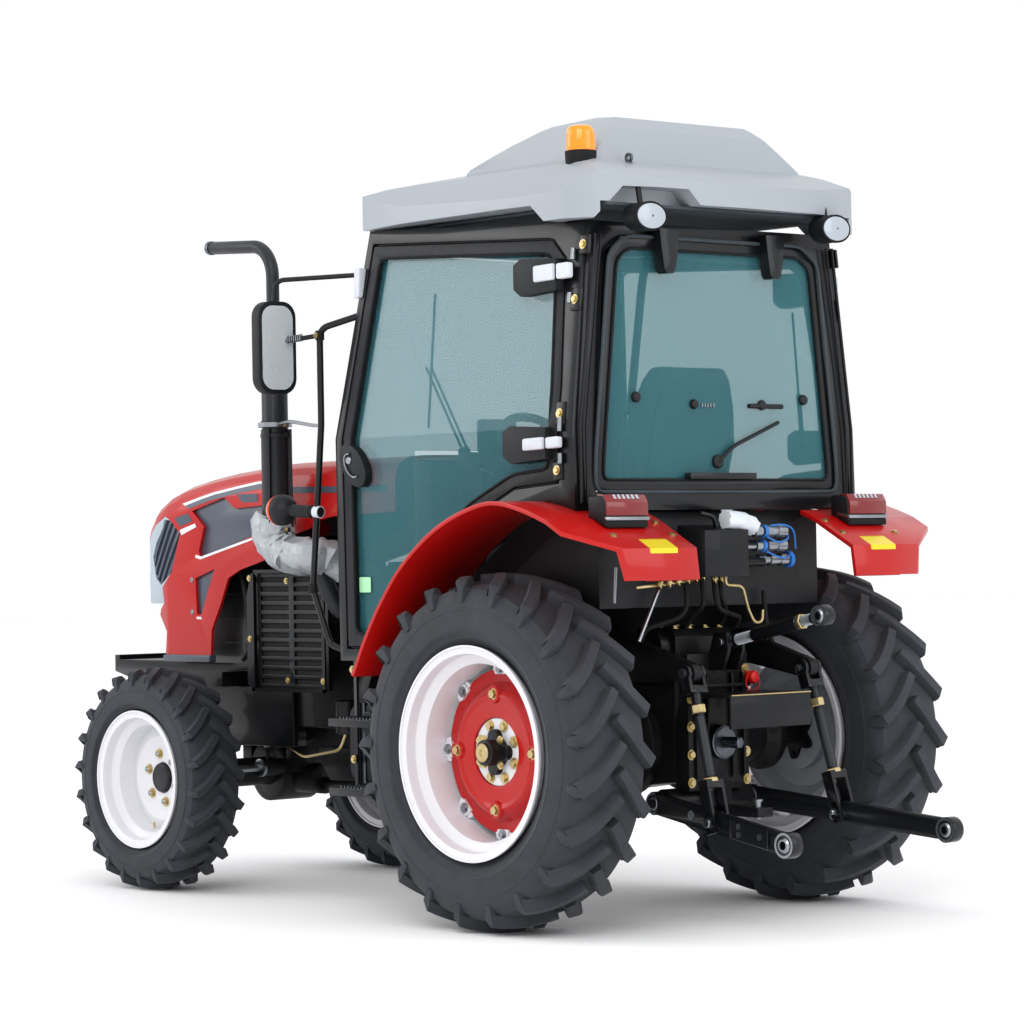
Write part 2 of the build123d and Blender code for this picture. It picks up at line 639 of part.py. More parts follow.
with BuildPart() as rear_glass:
    with BuildSketch(cross_plane(CAB_REAR + 14)):
        outline(((-594, 1546), (594, 1546), (594, 1640), (514, 2376), (436, 2434), (-436, 2434),
                 (-514, 2376), (-594, 1640)))
        offset(amount=-38, kind=Kind.INTERSECTION)
    extrude(amount=GLASS)
keep(rear_glass.part, "rear_glass")

# ---- windscreen, with the side lights that reach down beside the hood
COWL_HALF = 330
with BuildPart() as windscreen:
    with BuildSketch(side_plane()):
        outline(((880 - 8, CAB_TOP - 86), (975, BELT), (966, 1002), (966 - GLASS, 1002), (975 - GLASS, BELT),
                 (880 - 14, CAB_TOP - 86)))
    extrude(amount=700, both=True)
    with BuildSketch(cross_plane(820)):
        outline(((-638, 1002), (638, 1002), (638, BELT), (543, 2468), (-543, 2468), (-638, BELT)))
    extrude(amount=250, mode=Mode.INTERSECT)
    with BuildSketch(cross_plane(820)):
        outline(((-COWL_HALF, 900), (COWL_HALF, 900), (COWL_HALF, 1730), (-COWL_HALF, 1730)))
    extrude(amount=250, mode=Mode.SUBTRACT)
keep(windscreen.part, "windscreen")

ROOF_PLAN = ((1060, 0), (1046, 330), (1000, 535), (905, 615), (600, 675), (0, 705), (-330, 700), (-425, 640),
             (-480, 400), (-500, 0))
with BuildPart() as roof:
    with BuildSketch(side_plane()):
        outline(((-500, 2548), (900, 2552), (1010, 2612), (1062, 2650), (1000, 2674), (700, 2708), (300, 2736),
                 (0, 2745), (-230, 2735), (-310, 2708), (-500, 2628)))
    extrude(amount=720, both=True)
    # skirts beside the rear posts
    for side_name, side in SIDES:
        with BuildSketch(side_plane(side * 620)):
            outline(((-110, 2560), (-150, 2552), (-222, 2490), (-450, 2490), (-440, 2560)))
        extrude(amount=-side * 100)
    with BuildSketch(deck_plane(2400)):
        outline(ROOF_PLAN + tuple((ahead, -left) for ahead, left in reversed(ROOF_PLAN[1:-1])))
    extrude(amount=500, mode=Mode.INTERSECT)
    with BuildSketch(cross_plane(-600)):
        outline(((-712, 2480), (712, 2480), (706, 2585), (588, 2698), (480, 2724), (0, 2750), (-480, 2724),
                 (-588, 2698), (-706, 2585)))
    extrude(amount=1800, mode=Mode.INTERSECT)
    # recesses for the rear work lamps
    for side_name, side in SIDES:
        with BuildSketch(cross_plane(-600, 0, 0, side)):
            outline(((652, 2480), (530, 2602), (250, 2602), (188, 2540), (188, 2480)))
        extrude(amount=205, mode=Mode.SUBTRACT)
    # raised air-conditioning housing
    with BuildPart() as housing:
        with BuildSketch(side_plane()):
            outline(((-290, 2700), (-232, 2840), (-190, 2884), (-60, 2896), (150, 2884), (290, 2820), (420, 2742),
                     (420, 2700)))
        extrude(amount=520, both=True)
        with BuildSketch(cross_plane(-600)):
            outline(((-520, 2690), (520, 2690), (508, 2725), (440, 2790), (350, 2868), (300, 2896), (-300, 2896),
                     (-350, 2868), (-440, 2790), (-508, 2725)))
        extrude(amount=1800, mode=Mode.INTERSECT)
keep(roof.part, "roof")

# ---- fenders: an arched sheet over each rear wheel, deep lip at the rear
for side_name, side in SIDES:
    with BuildPart() as fender:
        with BuildSketch(side_plane(side * FENDER_INNER)):
            with BuildLine():
                arch = Polyline(*FENDER_ARCH)
                rear = Polyline(arch @ 1, (-655, 1230), (-641, 1230), (-627, 1330))
                under = Polyline(rear @ 1, (-448, 1427), (-218, 1494), (-60, 1484), (143, 1412),
                                 (330, 1289), (460, 1151), (554, 1018), (605, 928), (626, 892))
                Line(under @ 1, arch @ 0)
            make_face()
        extrude(amount=side * (FENDER_INNER - FENDER_OUTER))
        # shelf behind the cab
        with BuildSketch(side_plane(side * 390)):
            outline(((-375, 1466), (-452, 1441), (-640, 1340), (-655, 1230), (-641, 1230), (-627, 1330),
                     (-448, 1427), (-375, 1450)))
        extrude(amount=side * (390 - FENDER_INNER))
        # rear corner cut away at a slant
        with BuildSketch(deck_plane(1100)):
            outline(((-700, side * 1000), (-700, side * 640), (-470, side * 1000)))
        extrude(amount=500, mode=Mode.SUBTRACT)
    keep(fender.part, f"fender_{side_name}")

# ---- cab floor and inner wheel walls
FLOOR_REAR = -306
with BuildPart() as cab_floor:
    # floor, seat platform and the wall under the rear window
    with BuildSketch(side_plane()):
        outline(((FLOOR_REAR, 1130), (150, 1130), (230, 940), (916, 940), (916, 992), (262, 992), (185, 1180),
                 (FLOOR_REAR + 46, 1180), (FLOOR_REAR + 46, 1470), (FLOOR_REAR, 1470)))
    extrude(amount=545, both=True)
    # wheel walls inside the fenders
    for side_name, side in SIDES:
        with BuildSketch(side_plane(side * 528)):
            outline(((FLOOR_REAR, 1130), (150, 1130), (230, 940), (620, 940),
                     *((ahead, height - 18) for ahead, height in FENDER_ARCH[2:8]), (FLOOR_REAR, 1470)))
        extrude(amount=side * -17)
        with BuildSketch(deck_plane(940, 780, side * 595)):
            Rectangle(270, 102)
        extrude(amount=52)
    # cowl between cab and hood
    with BuildSketch(side_plane()):
        outline(((880, 992), (916, 992), (916, 1004), (990, 1004), (990, 1690), (880, 1690)))
    extrude(amount=325, both=True)
keep(cab_floor.part, "cab_floor")

with BuildPart() as seat_base:
    with BuildSketch(deck_plane(1180, 60)):
        Rectangle(380, 380)
    extrude(amount=170)
keep(seat_base.part, "seat_base")

with BuildPart() as seat:
    with BuildSketch(side_plane()):
        outline(((270, 1350), (280, 1440), (250, 1460), (-60, 1445), (-170, 1980), (-230, 2000),
                 (-245, 1960), (-150, 1350)))
    extrude(amount=240, both=True)
    fillet(seat.edges().filter_by(Axis.Y), radius=18)
keep(seat.part, "seat")

with BuildPart() as console:
    with BuildSketch(side_plane()):
        outline(((750, 992), (880, 992), (880, 1700), (840, 1720), (720, 1640), (700, 1560), (760, 1500)))
    extrude(amount=210, both=True)
    rod_between(at(760, 0, 1560), at(617, 0, 1690), 30)
keep(console.part, "console")

with BuildPart() as steering_wheel:
    column = Vector(-143, 0, 130).normalized()
    hub_point = Vector(*at(617, 0, 1690))
    with BuildSketch(Plane(origin=hub_point, x_dir=(0, 1, 0), z_dir=column)):
        Circle(45)
    extrude(amount=40)
    with BuildSketch(Plane(origin=hub_point + column * 25, x_dir=(0, 1, 0), z_dir=column)):
        Circle(200)
        Circle(172, mode=Mode.SUBTRACT)
        with PolarLocations(0, 3):
            with Locations((105, 0)):
                Rectangle(150, 26)
    extrude(amount=24)
keep(steering_wheel.part, "steering_wheel")

# ---- exhaust, rails, mirrors ---------------------------------------------
STACK_AHEAD, STACK_LEFT = 1690, 455
with BuildPart() as exhaust:
    with BuildSketch(deck_plane(1420, STACK_AHEAD, STACK_LEFT)):
        Circle(52)
    extrude(amount=580)
    tube_along((at(STACK_AHEAD, STACK_LEFT, 2000), at(STACK_AHEAD, STACK_LEFT, 2565),
                at(2110, STACK_LEFT, 2590)), 130, 26)
    tube_along((at(STACK_AHEAD, STACK_LEFT, 1425), at(STACK_AHEAD, STACK_LEFT, 1345),
                at(1500, 430, 1345), at(1450, 330, 1110), at(1450, 170, 1110)), 60, 36)
    # clamp band and the heat shield's ends
    for height in (1424, 1850):
        with BuildSketch(deck_plane(height, STACK_AHEAD, STACK_LEFT)):
            Circle(57)
        extrude(amount=22)
keep(exhaust.part, "exhaust")

RAIL_RADIUS = 12.5
with BuildPart() as handrails:
    for side_name, side in SIDES:
        tube_along((at(908, side * 615, 2240), at(1045, side * 720, 2190), at(1045, side * 720, 1830),
                    at(1112, side * 720, 1210), at(1050, side * 690, 1000), at(965, side * 670, 970)),
                   45, RAIL_RADIUS)
keep(handrails.part, "handrails")

with BuildPart() as mirrors:
    for side_name, side in SIDES:
        with BuildSketch(cross_plane(1190, 810, 2125, side)):
            RectangleRounded(175, 350, 60)
        extrude(amount=side * 45)
        rod_between(at(1205, side * 770, 2150), at(1060, side * 720, 2165), 9)
        tube_along((at(905, side * 600, 2390), at(1200, side * 810, 2380), at(1212, side * 810, 2280)), 40, 9)
keep(mirrors.part, "mirrors")

# ---- steps and fuel tank under the doors ---------------------------------
with BuildPart() as fuel_tank:
    with BuildSketch(side_plane(540)):
        with Locations((930, 620)):
            RectangleRounded(420, 300, 60)
    extrude(amount=360)
    rod_between(at(930, 200, 620), at(930, 150, 620), 25)
keep(fuel_tank.part, "fuel_tank")

with BuildPart() as steps:
    for side_name, side in SIDES:
        for height in (430, 690):
            with BuildSketch(deck_plane(height, 930, side * 620)):
                Rectangle(300, 130)
            extrude(amount=30)
        with BuildSketch(side_plane(side * 560)):
            with Locations((790, 680), (1070, 680)):
                Rectangle(20, 520)
        extrude(amount=side * 10)
keep(steps.part, "steps")

# ---- lamps ---------------------------------------------------------------
with BuildPart() as tail_lamps:
    for side_name, side in SIDES:
        with BuildSketch(side_plane(side * 500)):
            outline(((-425, 1450), (-453, 1442), (-515, 1411), (-515, 1500), (-500, 1524), (-425, 1524)))
        extrude(amount=-side * 200)
keep(tail_lamps.part, "tail_lamps")

with BuildPart() as work_lamps:
    for side_name, side in SIDES:
        with BuildSketch(Plane(origin=at(-515, side * 461, 2495), x_dir=(0, 1, 0), z_dir=(-1, 0, 0))):
            Ellipse(72, 50)
        extrude(amount=-70)
        rod_between(at(-470, side * 461, 2500), at(-450, side * 461, 2608), 10)
        # ball lamps on the handrails
        with Locations(at(1254, side * 752, 1511)):
            Sphere(60)
        rod_between(at(1254, side * 752, 1511), at(1105, side * 724, 1502), 24)
        rod_between(at(1130, side * 730, 1504), at(1058, side * 718, 1499), 19)
    add(handrails.part, mode=Mode.SUBTRACT)
keep(work_lamps.part, "work_lamps")

with BuildPart() as beacon:
    with BuildSketch(deck_plane(2690, -243, 539)):
        Circle(56)
    extrude(amount=54)
    with BuildSketch(deck_plane(2744, -243, 539)):
        Circle(52)
    extrude(amount=80)
    with BuildSketch(deck_plane(2824, -243, 539)):
        Circle(44)
    extrude(amount=10)
    add(roof.part, mode=Mode.SUBTRACT)
keep(beacon.part, "beacon")

# ---- hydraulic lift and three-point linkage ------------------------------
ROCKSHAFT = (-160, 980)
ARM_END = (-500, 900)
ARM_LEFT = 290
LINK_PIVOT = (-250, 430)
LINK_ROD_EYE = (-640, 385)
LINK_BALL = (-1070, 335)
PIVOT_LEFT = 235
BALL_LEFT = 400
SOCKET_RADIUS = 45
BALL_BORE = 14.35

with BuildPart() as lift_cover:
    with BuildSketch(side_plane()):
        outline(((-260, GEARBOX_TOP), (200, GEARBOX_TOP), (200, 925), (-40, 930), (-60, 1050), (-240, 1050),
                 (-260, 1020)))
    extrude(amount=140, both=True)
    with BuildSketch(side_plane(185)):
        with Locations(ROCKSHAFT):
            Circle(75)
    extrude(amount=370)
    with BuildSketch(side_plane(200)):
        with Locations(ROCKSHAFT):
            Circle(38.05)
    extrude(amount=400, mode=Mode.SUBTRACT)
keep(lift_cover.part, "lift_cover")

ARM_SPAN = Vector(ARM_END[0] - ROCKSHAFT[0], ARM_END[1] - ROCKSHAFT[1])
with BuildPart() as lift_arms:
    with BuildSketch(side_plane(ARM_LEFT + 20)):
        with Locations(ROCKSHAFT):
            Circle(38)
    extrude(amount=2 * (ARM_LEFT + 20))
    for side_name, side in SIDES:
        with BuildSketch(side_plane(side * (ARM_LEFT - 20))):
            with Locations(ROCKSHAFT):
                Circle(62)
            with Locations(ARM_END):
                Circle(36)
            with BuildLine():
                Polyline((ROCKSHAFT[0] + 15, ROCKSHAFT[1] + 60), (ARM_END[0] - 8, ARM_END[1] + 35),
                         (ARM_END[0] + 8, ARM_END[1] - 35), (ROCKSHAFT[0] - 15, ROCKSHAFT[1] - 60), close=True)
            make_face()
            with Locations(ARM_END):
                Circle(12.55, mode=Mode.SUBTRACT)
        extrude(amount=-side * 40)
keep(lift_arms.part, "lift_arms")

ROD_SPAN = Vector(LINK_ROD_EYE[0] - ARM_END[0], LINK_ROD_EYE[1] - ARM_END[1])
ROD_LENGTH = ROD_SPAN.length
EYE_LEFT = PIVOT_LEFT + (BALL_LEFT - PIVOT_LEFT) * (LINK_PIVOT[0] - LINK_ROD_EYE[0]) / (LINK_PIVOT[0] - LINK_BALL[0])
for side_name, side in SIDES:
    upper = Vector(*at(ARM_END[0], side * ARM_LEFT, ARM_END[1]))
    lower = Vector(*at(LINK_ROD_EYE[0], side * EYE_LEFT, LINK_ROD_EYE[1]))
    along = (lower - upper).normalized()
    with BuildPart() as lift_rod:
        # clevis over the arm's end, with its pin
        with BuildSketch(side_plane(side * (ARM_LEFT - 20 - GAP - 14))):
            with Locations(ARM_END):
                Circle(30)
        extrude(amount=-side * 14)
        with BuildSketch(side_plane(side * (ARM_LEFT + 20 + GAP))):
            with Locations(ARM_END):
                Circle(30)
        extrude(amount=-side * 14)
        with BuildSketch(side_plane(side * (ARM_LEFT - 20 - GAP - 14))):
            with Locations(ARM_END):
                Circle(12.5)
        extrude(amount=-side * (40 + 2 * GAP + 28))
        with BuildSketch(Plane(origin=upper + along * 8, x_dir=(0, side, 0), z_dir=along)):
            with Locations((20 + GAP + 7, 0), (-20 - GAP - 7, 0)):
                Rectangle(14, 44)
        extrude(amount=60)
        with BuildSketch(Plane(origin=upper + along * 48, x_dir=(0, side, 0), z_dir=along)):
            Rectangle(2 * (20 + GAP + 14), 44)
        extrude(amount=26)
        with BuildSketch(Plane(origin=upper + along * 60, x_dir=(0, side, 0), z_dir=along)):
            Circle(17)
        extrude(amount=ROD_LENGTH - 200)
        # slotted fork over the lower link
        with BuildSketch(Plane(origin=lower - along * 150, x_dir=(0, side, 0), z_dir=along)):
            Rectangle(2 * (22 + GAP + 12), 46)
        extrude(amount=30)
        with BuildSketch(Plane(origin=lower - along * 130, x_dir=(0, side, 0), z_dir=along)):
            with Locations((22 + GAP + 6, 0), (-22 - GAP - 6, 0)):
                Rectangle(12, 46)
        extrude(amount=170)
        with BuildSketch(Plane(origin=lower, x_dir=along, z_dir=(0, side, 0))):
            SlotCenterToCenter(40, 34)
        extrude(amount=60, both=True, mode=Mode.SUBTRACT)
    keep(lift_rod.part, f"lift_rod_{side_name}")

for side_name, side in SIDES:
    front = Vector(*at(LINK_PIVOT[0], side * PIVOT_LEFT, LINK_PIVOT[1]))
    ball = Vector(*at(LINK_BALL[0], side * BALL_LEFT, LINK_BALL[1]))
    eye = Vector(*at(LINK_ROD_EYE[0], side * EYE_LEFT, LINK_ROD_EYE[1]))
    run = (ball - front).normalized()
    across = Vector(0, 0, 1).cross(run).normalized()
    with BuildPart() as lower_link:
        with BuildSketch(Plane(origin=front - run * 20, x_dir=across, z_dir=run)):
            Rectangle(24, 76)
        extrude(amount=(ball - front).length - 20)
        with BuildSketch(Plane(origin=front + across * 16, x_dir=run, z_dir=-across)):
            Circle(42)
        extrude(amount=32)
        with BuildSketch(Plane(origin=ball + Vector(0, 24, 0), x_dir=(1, 0, 0), z_dir=(0, -1, 0))):
            Circle(SOCKET_RADIUS)
        extrude(amount=48)
        with BuildSketch(Plane(origin=front + Vector(0, 60, 0), x_dir=(1, 0, 0), z_dir=(0, -1, 0))):
            Circle(15.05)
        extrude(amount=120, mode=Mode.SUBTRACT)
        with BuildSketch(Plane(origin=ball + Vector(0, 60, 0), x_dir=(1, 0, 0), z_dir=(0, -1, 0))):
            Circle(BALL_BORE)
        extrude(amount=120, mode=Mode.SUBTRACT)
        # pin for the lift rod's slotted fork
        with BuildSketch(Plane(origin=eye + Vector(0, 44, 0), x_dir=(1, 0, 0), z_dir=(0, -1, 0))):
            Circle(12)
        extrude(amount=88)
    keep(lower_link.part, f"lower_link_{side_name}")

TOP_PIVOT = (-395, 1000)
TOP_BALL = (-860, 1095)
with BuildPart() as rear_bracket:
    # cast carrier behind the axle: link pins, top-link lug, PTO and drawbar
    with BuildSketch(side_plane()):
        outline(((-260, 470), (-330, 470), (-330, 960), (-260, 900)))
    extrude(amount=150, both=True)
    with BuildSketch(side_plane(205)):
        with Locations(LINK_PIVOT):
            Circle(48)
    extrude(amount=410)
    with BuildSketch(side_plane(270)):
        with Locations(LINK_PIVOT):
            Circle(15)
    extrude(amount=540)
    for side_name, side in SIDES:
        with BuildSketch(side_plane(side * 28)):
            outline(((-330, 900), (-330, 960), (-360, 1035), (-425, 1035), (-430, 970), (-400, 900)))
            with Locations(TOP_PIVOT):
                Circle(12.55, mode=Mode.SUBTRACT)
        extrude(amount=-side * 16)
    with BuildSketch(deck_plane(380)):
        with Locations((-350, 0)):
            Rectangle(420, 75)
    extrude(amount=34)
    with BuildSketch(side_plane()):
        outline(((-260, 410), (-330, 414), (-330, 480), (-260, 480)))
    extrude(amount=60, both=True)
    with BuildSketch(deck_plane(370)):
        with Locations((-520, 0)):
            Circle(16)
    extrude(amount=60, mode=Mode.SUBTRACT)
keep(rear_bracket.part, "rear_bracket")

with BuildPart() as pto_shaft:
    with BuildSketch(cross_plane(-330, 0, 640)):
        Circle(60)
    extrude(amount=-30)
    with BuildSketch(cross_plane(-360, 0, 640)):
        Circle(17.5)
    extrude(amount=-80)
keep(pto_shaft.part, "pto_shaft")

with BuildPart() as pto_guard:
    with BuildSketch(side_plane()):
        outline(((-330, 820), (-600, 820), (-600, 700), (-588, 700), (-588, 808), (-330, 808)))
    extrude(amount=200, both=True)
keep(pto_guard.part, "pto_guard")

with BuildPart() as top_link:
    with BuildSketch(side_plane(24)):
        with Locations(TOP_PIVOT):
            Circle(30)
    extrude(amount=48)
    with BuildSketch(side_plane(44)):
        with Locations(TOP_PIVOT):
            Circle(12.5)
    extrude(amount=88)
    rod_between(at(TOP_PIVOT[0] - 20, 0, TOP_PIVOT[1] + 4), at(TOP_BALL[0] + 20, 0, TOP_BALL[1] - 4), 19)
    with BuildSketch(side_plane(24)):
        with Locations(TOP_BALL):
            Circle(38)
    extrude(amount=48)
    with BuildSketch(side_plane(60)):
        with Locations(TOP_BALL):
            Circle(12.7)
    extrude(amount=120, mode=Mode.SUBTRACT)
keep(top_link.part, "top_link")

with BuildPart() as valve_block:
    with BuildSketch(side_plane(215)):
        outline(((-360, 1235), (-500, 1235), (-500, 1400), (-360, 1420)))
    extrude(amount=215)
    for height in (1345, 1285):
        rod_between(at(-440, 0, height), at(-440, -130, height), 17)
keep(valve_block.part, "valve_block")
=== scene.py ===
"""Farm tractor with a cab and a three-point linkage: the finish of every surface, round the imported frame.

Run as a script in Blender. Shapes are given in millimetres ahead of the rear axle, to the driver's left and
above the ground, and become metres in the row's frame when a piece is made.
"""

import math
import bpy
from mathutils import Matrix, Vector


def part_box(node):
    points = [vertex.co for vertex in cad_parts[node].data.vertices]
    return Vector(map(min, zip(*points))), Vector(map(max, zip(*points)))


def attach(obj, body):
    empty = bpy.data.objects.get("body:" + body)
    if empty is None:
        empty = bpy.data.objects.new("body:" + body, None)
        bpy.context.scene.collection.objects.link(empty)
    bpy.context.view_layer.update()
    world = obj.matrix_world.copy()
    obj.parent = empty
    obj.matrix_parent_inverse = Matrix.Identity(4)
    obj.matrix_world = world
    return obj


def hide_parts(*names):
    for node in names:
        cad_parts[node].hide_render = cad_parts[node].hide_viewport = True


bl_info = {
    "name": "Farm tractor",
    "version": (1, 0, 0),
    "blender": (4, 5, 0),
    "location": "View3D > Sidebar > Tractor",
    "description": "Builds the looks of a farm tractor round its packed frame",
    "category": "Add Mesh",
}

from random import Random

import bmesh
import bpy
from bpy.props import FloatProperty, FloatVectorProperty, PointerProperty
from mathutils import Matrix, Vector
from mathutils.bvhtree import BVHTree

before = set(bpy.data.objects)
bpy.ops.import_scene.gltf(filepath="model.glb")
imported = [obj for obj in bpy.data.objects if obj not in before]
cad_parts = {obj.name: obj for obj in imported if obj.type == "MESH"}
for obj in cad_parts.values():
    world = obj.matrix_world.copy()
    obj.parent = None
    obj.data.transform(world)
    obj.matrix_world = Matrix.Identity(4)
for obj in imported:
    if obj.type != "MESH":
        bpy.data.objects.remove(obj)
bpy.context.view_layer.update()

MM = 0.001
SIDES = (("left", 1), ("right", -1))
UP = Vector((0, 0, 1))
AHEAD = Vector((1, 0, 0))
LEFT = Vector((0, 1, 0))
TURN = 2 * math.pi


def box_mm(node):
    """Lowest and highest corner of a CAD node, in millimetres ahead, left and up."""
    return tuple((corner - ORIGIN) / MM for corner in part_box(node))


def middle_mm(node):
    """Middle of a CAD node's box."""
    low, high = box_mm(node)
    return (low + high) / 2


_low, _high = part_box("rear_tyre_left")
ORIGIN = Vector(((_low.x + _high.x) / 2, 0, 0))
REAR_WHEEL = middle_mm("rear_tyre_left")
FRONT_WHEEL = middle_mm("front_tyre_left")
REAR_RADIUS = REAR_WHEEL.z
FRONT_RADIUS = FRONT_WHEEL.z


# ---- nodes and colours ---------------------------------------------------
def hex_colour(text):
    """An sRGB hex colour as linear red, green, blue and full alpha."""
    channels = (int(text[place:place + 2], 16) / 255 for place in (1, 3, 5))
    return tuple(c / 12.92 if c <= 0.04045 else ((c + 0.055) / 1.055) ** 2.4 for c in channels) + (1.0,)


def add_node(tree, kind, values=None, links=None, **settings):
    """One node: its own settings, values on its sockets, and the outputs that feed its sockets."""
    node = tree.nodes.new(kind)
    for name, value in settings.items():
        setattr(node, name, value)
    for socket, value in (values or {}).items():
        node.inputs[socket].default_value = value
    for socket, source in (links or {}).items():
        tree.links.new(source, node.inputs[socket])
    return node


def mottle(size_mm, detail=3.0):
    """Noise with blotches of a real size, on the piece's own place; the function adds it to a tree."""
    def added(tree):
        place = add_node(tree, "ShaderNodeTexCoord")
        turned = add_node(tree, "ShaderNodeMapping", links={"Vector": place.outputs["Object"]})
        return add_node(tree, "ShaderNodeTexNoise", {"Scale": 1 / (size_mm * MM), "Detail": detail},
                        {"Vector": turned.outputs["Vector"]}).outputs["Fac"]
    return added


def cells(size_mm):
    """Cells of a real size, as in moulded grain; the function adds them to a tree."""
    def added(tree):
        place = add_node(tree, "ShaderNodeTexCoord")
        return add_node(tree, "ShaderNodeTexVoronoi", {"Scale": 1 / (size_mm * MM)},
                        {"Vector": place.outputs["Object"]}, feature="F1").outputs["Distance"]
    return added


def weave(tree):
    """The rise and fall of a plain weave, 3 mm a thread."""
    place = add_node(tree, "ShaderNodeTexCoord")
    threads = [add_node(tree, "ShaderNodeTexWave", {"Scale": 105.0, "Distortion": 0.4},
                        {"Vector": place.outputs["Object"]}, bands_direction=axis).outputs["Fac"]
               for axis in ("Y", "Z")]
    return add_node(tree, "ShaderNodeMath", links=dict(enumerate(threads)), operation="MULTIPLY").outputs["Value"]


def new_finish(name, colour, roughness, metallic=0.0, blend=None, spread=None, relief=None, **sockets):
    """A material with one Principled shader, its values varied by patterns.

    blend is (pattern, one colour, other colour), spread is (pattern, lowest and highest roughness) and relief is
    (pattern, depth in millimetres, strength). sockets are further values, with spaces as underscores.
    """
    material = bpy.data.materials.new(name)
    material.use_nodes = True
    material.diffuse_color = hex_colour(colour)
    tree = material.node_tree
    shader = tree.nodes["Principled BSDF"]
    for socket, value in {"Base_Color": hex_colour(colour), "Roughness": roughness, "Metallic": metallic,
                          **sockets}.items():
        shader.inputs[socket.replace("_", " ")].default_value = value
    if blend:
        pattern, first, second = blend
        mix = add_node(tree, "ShaderNodeMix", links={"Factor": pattern(tree)}, data_type="RGBA")
        mix.inputs[6].default_value = hex_colour(first)
        mix.inputs[7].default_value = hex_colour(second)
        tree.links.new(mix.outputs[2], shader.inputs["Base Color"])
    if spread:
        pattern, low, high = spread
        ramp = add_node(tree, "ShaderNodeMapRange", {"To Min": low, "To Max": high}, {"Value": pattern(tree)})
        tree.links.new(ramp.outputs["Result"], shader.inputs["Roughness"])
    if relief:
        pattern, depth_mm, strength = relief
        bump = add_node(tree, "ShaderNodeBump", {"Distance": depth_mm * MM, "Strength": strength},
                        {"Height": pattern(tree)})
        tree.links.new(bump.outputs["Normal"], shader.inputs["Normal"])
    return material


def sprayed_enamel(name, colour, shade, roughness, coat, gloss=0.5):
    """Sprayed enamel: a clear gloss with orange peel, drawn at 4 mm so that it shows, and thin dust."""
    return new_finish(name, colour, roughness, 0.0, (mottle(340, 4), colour, shade),
                      (mottle(90, 5), roughness * 0.8, roughness * 1.35), (mottle(4.0, 1), 0.12, 0.25),
                      Coat_Weight=coat, Coat_Roughness=0.08, Specular_IOR_Level=gloss)


def cast_iron_enamel():
    """Black enamel brushed over sand castings: the pits of the casting show through."""
    return new_finish("black_enamel_on_castings", "#0E0F11", 0.5, 0.0, (mottle(160, 5), "#0C0D0F", "#16181B"),
                      (mottle(40, 5), 0.36, 0.62), (mottle(5, 4), 0.5, 0.4), Coat_Weight=0.12,
                      Specular_IOR_Level=0.35)


def moulded_tyre_rubber():
    """Moulded carbon-black rubber: bluish grey bloom, mould grain and fine scuffs on the tread."""
    return new_finish("moulded_tyre_rubber", "#2C2F34", 0.72, 0.0, (mottle(120, 6), "#24262A", "#3A3E46"),
                      (mottle(35, 4), 0.58, 0.85), (mottle(6, 5), 0.6, 0.35), Sheen_Weight=0.08,
                      Sheen_Roughness=0.6)


def moulded_plastic(name, colour, shade, roughness, grain_mm=2.2):
    """Injection-moulded plastic with the mould's fine leather grain, drawn at about 2 mm so that it shows."""
    return new_finish(name, colour, roughness, 0.0, (mottle(70, 3), colour, shade),
                      (mottle(25, 3), roughness * 0.9, min(1, roughness * 1.2)), (cells(grain_mm), 0.12, 0.3))


def roof_gelcoat(colour):
    """Silver-grey moulded roof shell: satin, with a faint metallic flake and the mould's slight waviness."""
    return new_finish("silver_grey_roof_shell", colour, 0.42, 0.0, (mottle(420, 3), darker(colour, 0.98), colour),
                      (mottle(3, 2), 0.36, 0.5), (mottle(60, 2), 0.5, 0.2), Coat_Weight=0.2, Coat_Roughness=0.25)


def tinted_glazing():
    """Toughened safety glass with a blue-green tint: each pane veils what is behind it a little."""
    return new_finish("tinted_safety_glass", "#4A8790", 0.03, 0.0, (mottle(900, 2), "#468189", "#519099"),
                      Alpha=0.34, Specular_IOR_Level=0.6)


def metal(name, colour, shade, roughness):
    """Bare or plated metal with turned marks of about 8 mm."""
    return new_finish(name, colour, roughness, 1.0, (mottle(24, 4), colour, shade),
                      (mottle(8, 4), roughness * 0.75, roughness * 1.3))


def crumpled_foil():
    """Aluminium foil wrapped by hand round the elbow: sharp facets and creases that glint."""
    return new_finish("crumpled_aluminium_foil", "#AEB2B7", 0.45, 0.3, (mottle(60, 3), "#9DA1A6", "#C2C6CA"),
                      relief=(mottle(26, 3), 9, 0.6))


def packing_foam():
    """White closed-cell packing foam, with its small cells as soft dimples."""
    return new_finish("white_packing_foam", "#CFD4DB", 0.85, 0.0, (mottle(30, 3), "#C6CCD4", "#DADEE4"),
                      relief=(cells(4), 0.8, 0.5), Subsurface_Weight=0.05)


def printed_vinyl(name, colour, shade):
    """Screen-printed vinyl sheet pressed on the paint: flat, smooth and a little softer in gloss."""
    return new_finish(name, colour, 0.34, 0.0, (mottle(200, 2), colour, shade), relief=(mottle(14, 1), 0.15, 0.2),
                      Coat_Weight=0.3, Coat_Roughness=0.2)


def lamp_lens(name, colour, glow):
    """Moulded acrylic lens with fine optics on its inside."""
    return new_finish(name, colour, 0.12, relief=(cells(6), 0.6, 0.5), Coat_Weight=0.8, Coat_Roughness=0.03,
                      Emission_Color=hex_colour(colour), Emission_Strength=glow)


def woven_seat_cloth():
    """Dark seat cover: a coarse woven face, its threads drawn wide so that they show."""
    return new_finish("woven_seat_cover", "#2A2F34", 0.8, 0.0, (mottle(60, 4), "#23282C", "#353B41"),
                      relief=(weave, 0.5, 0.5), Sheen_Weight=0.25, Sheen_Roughness=0.5)


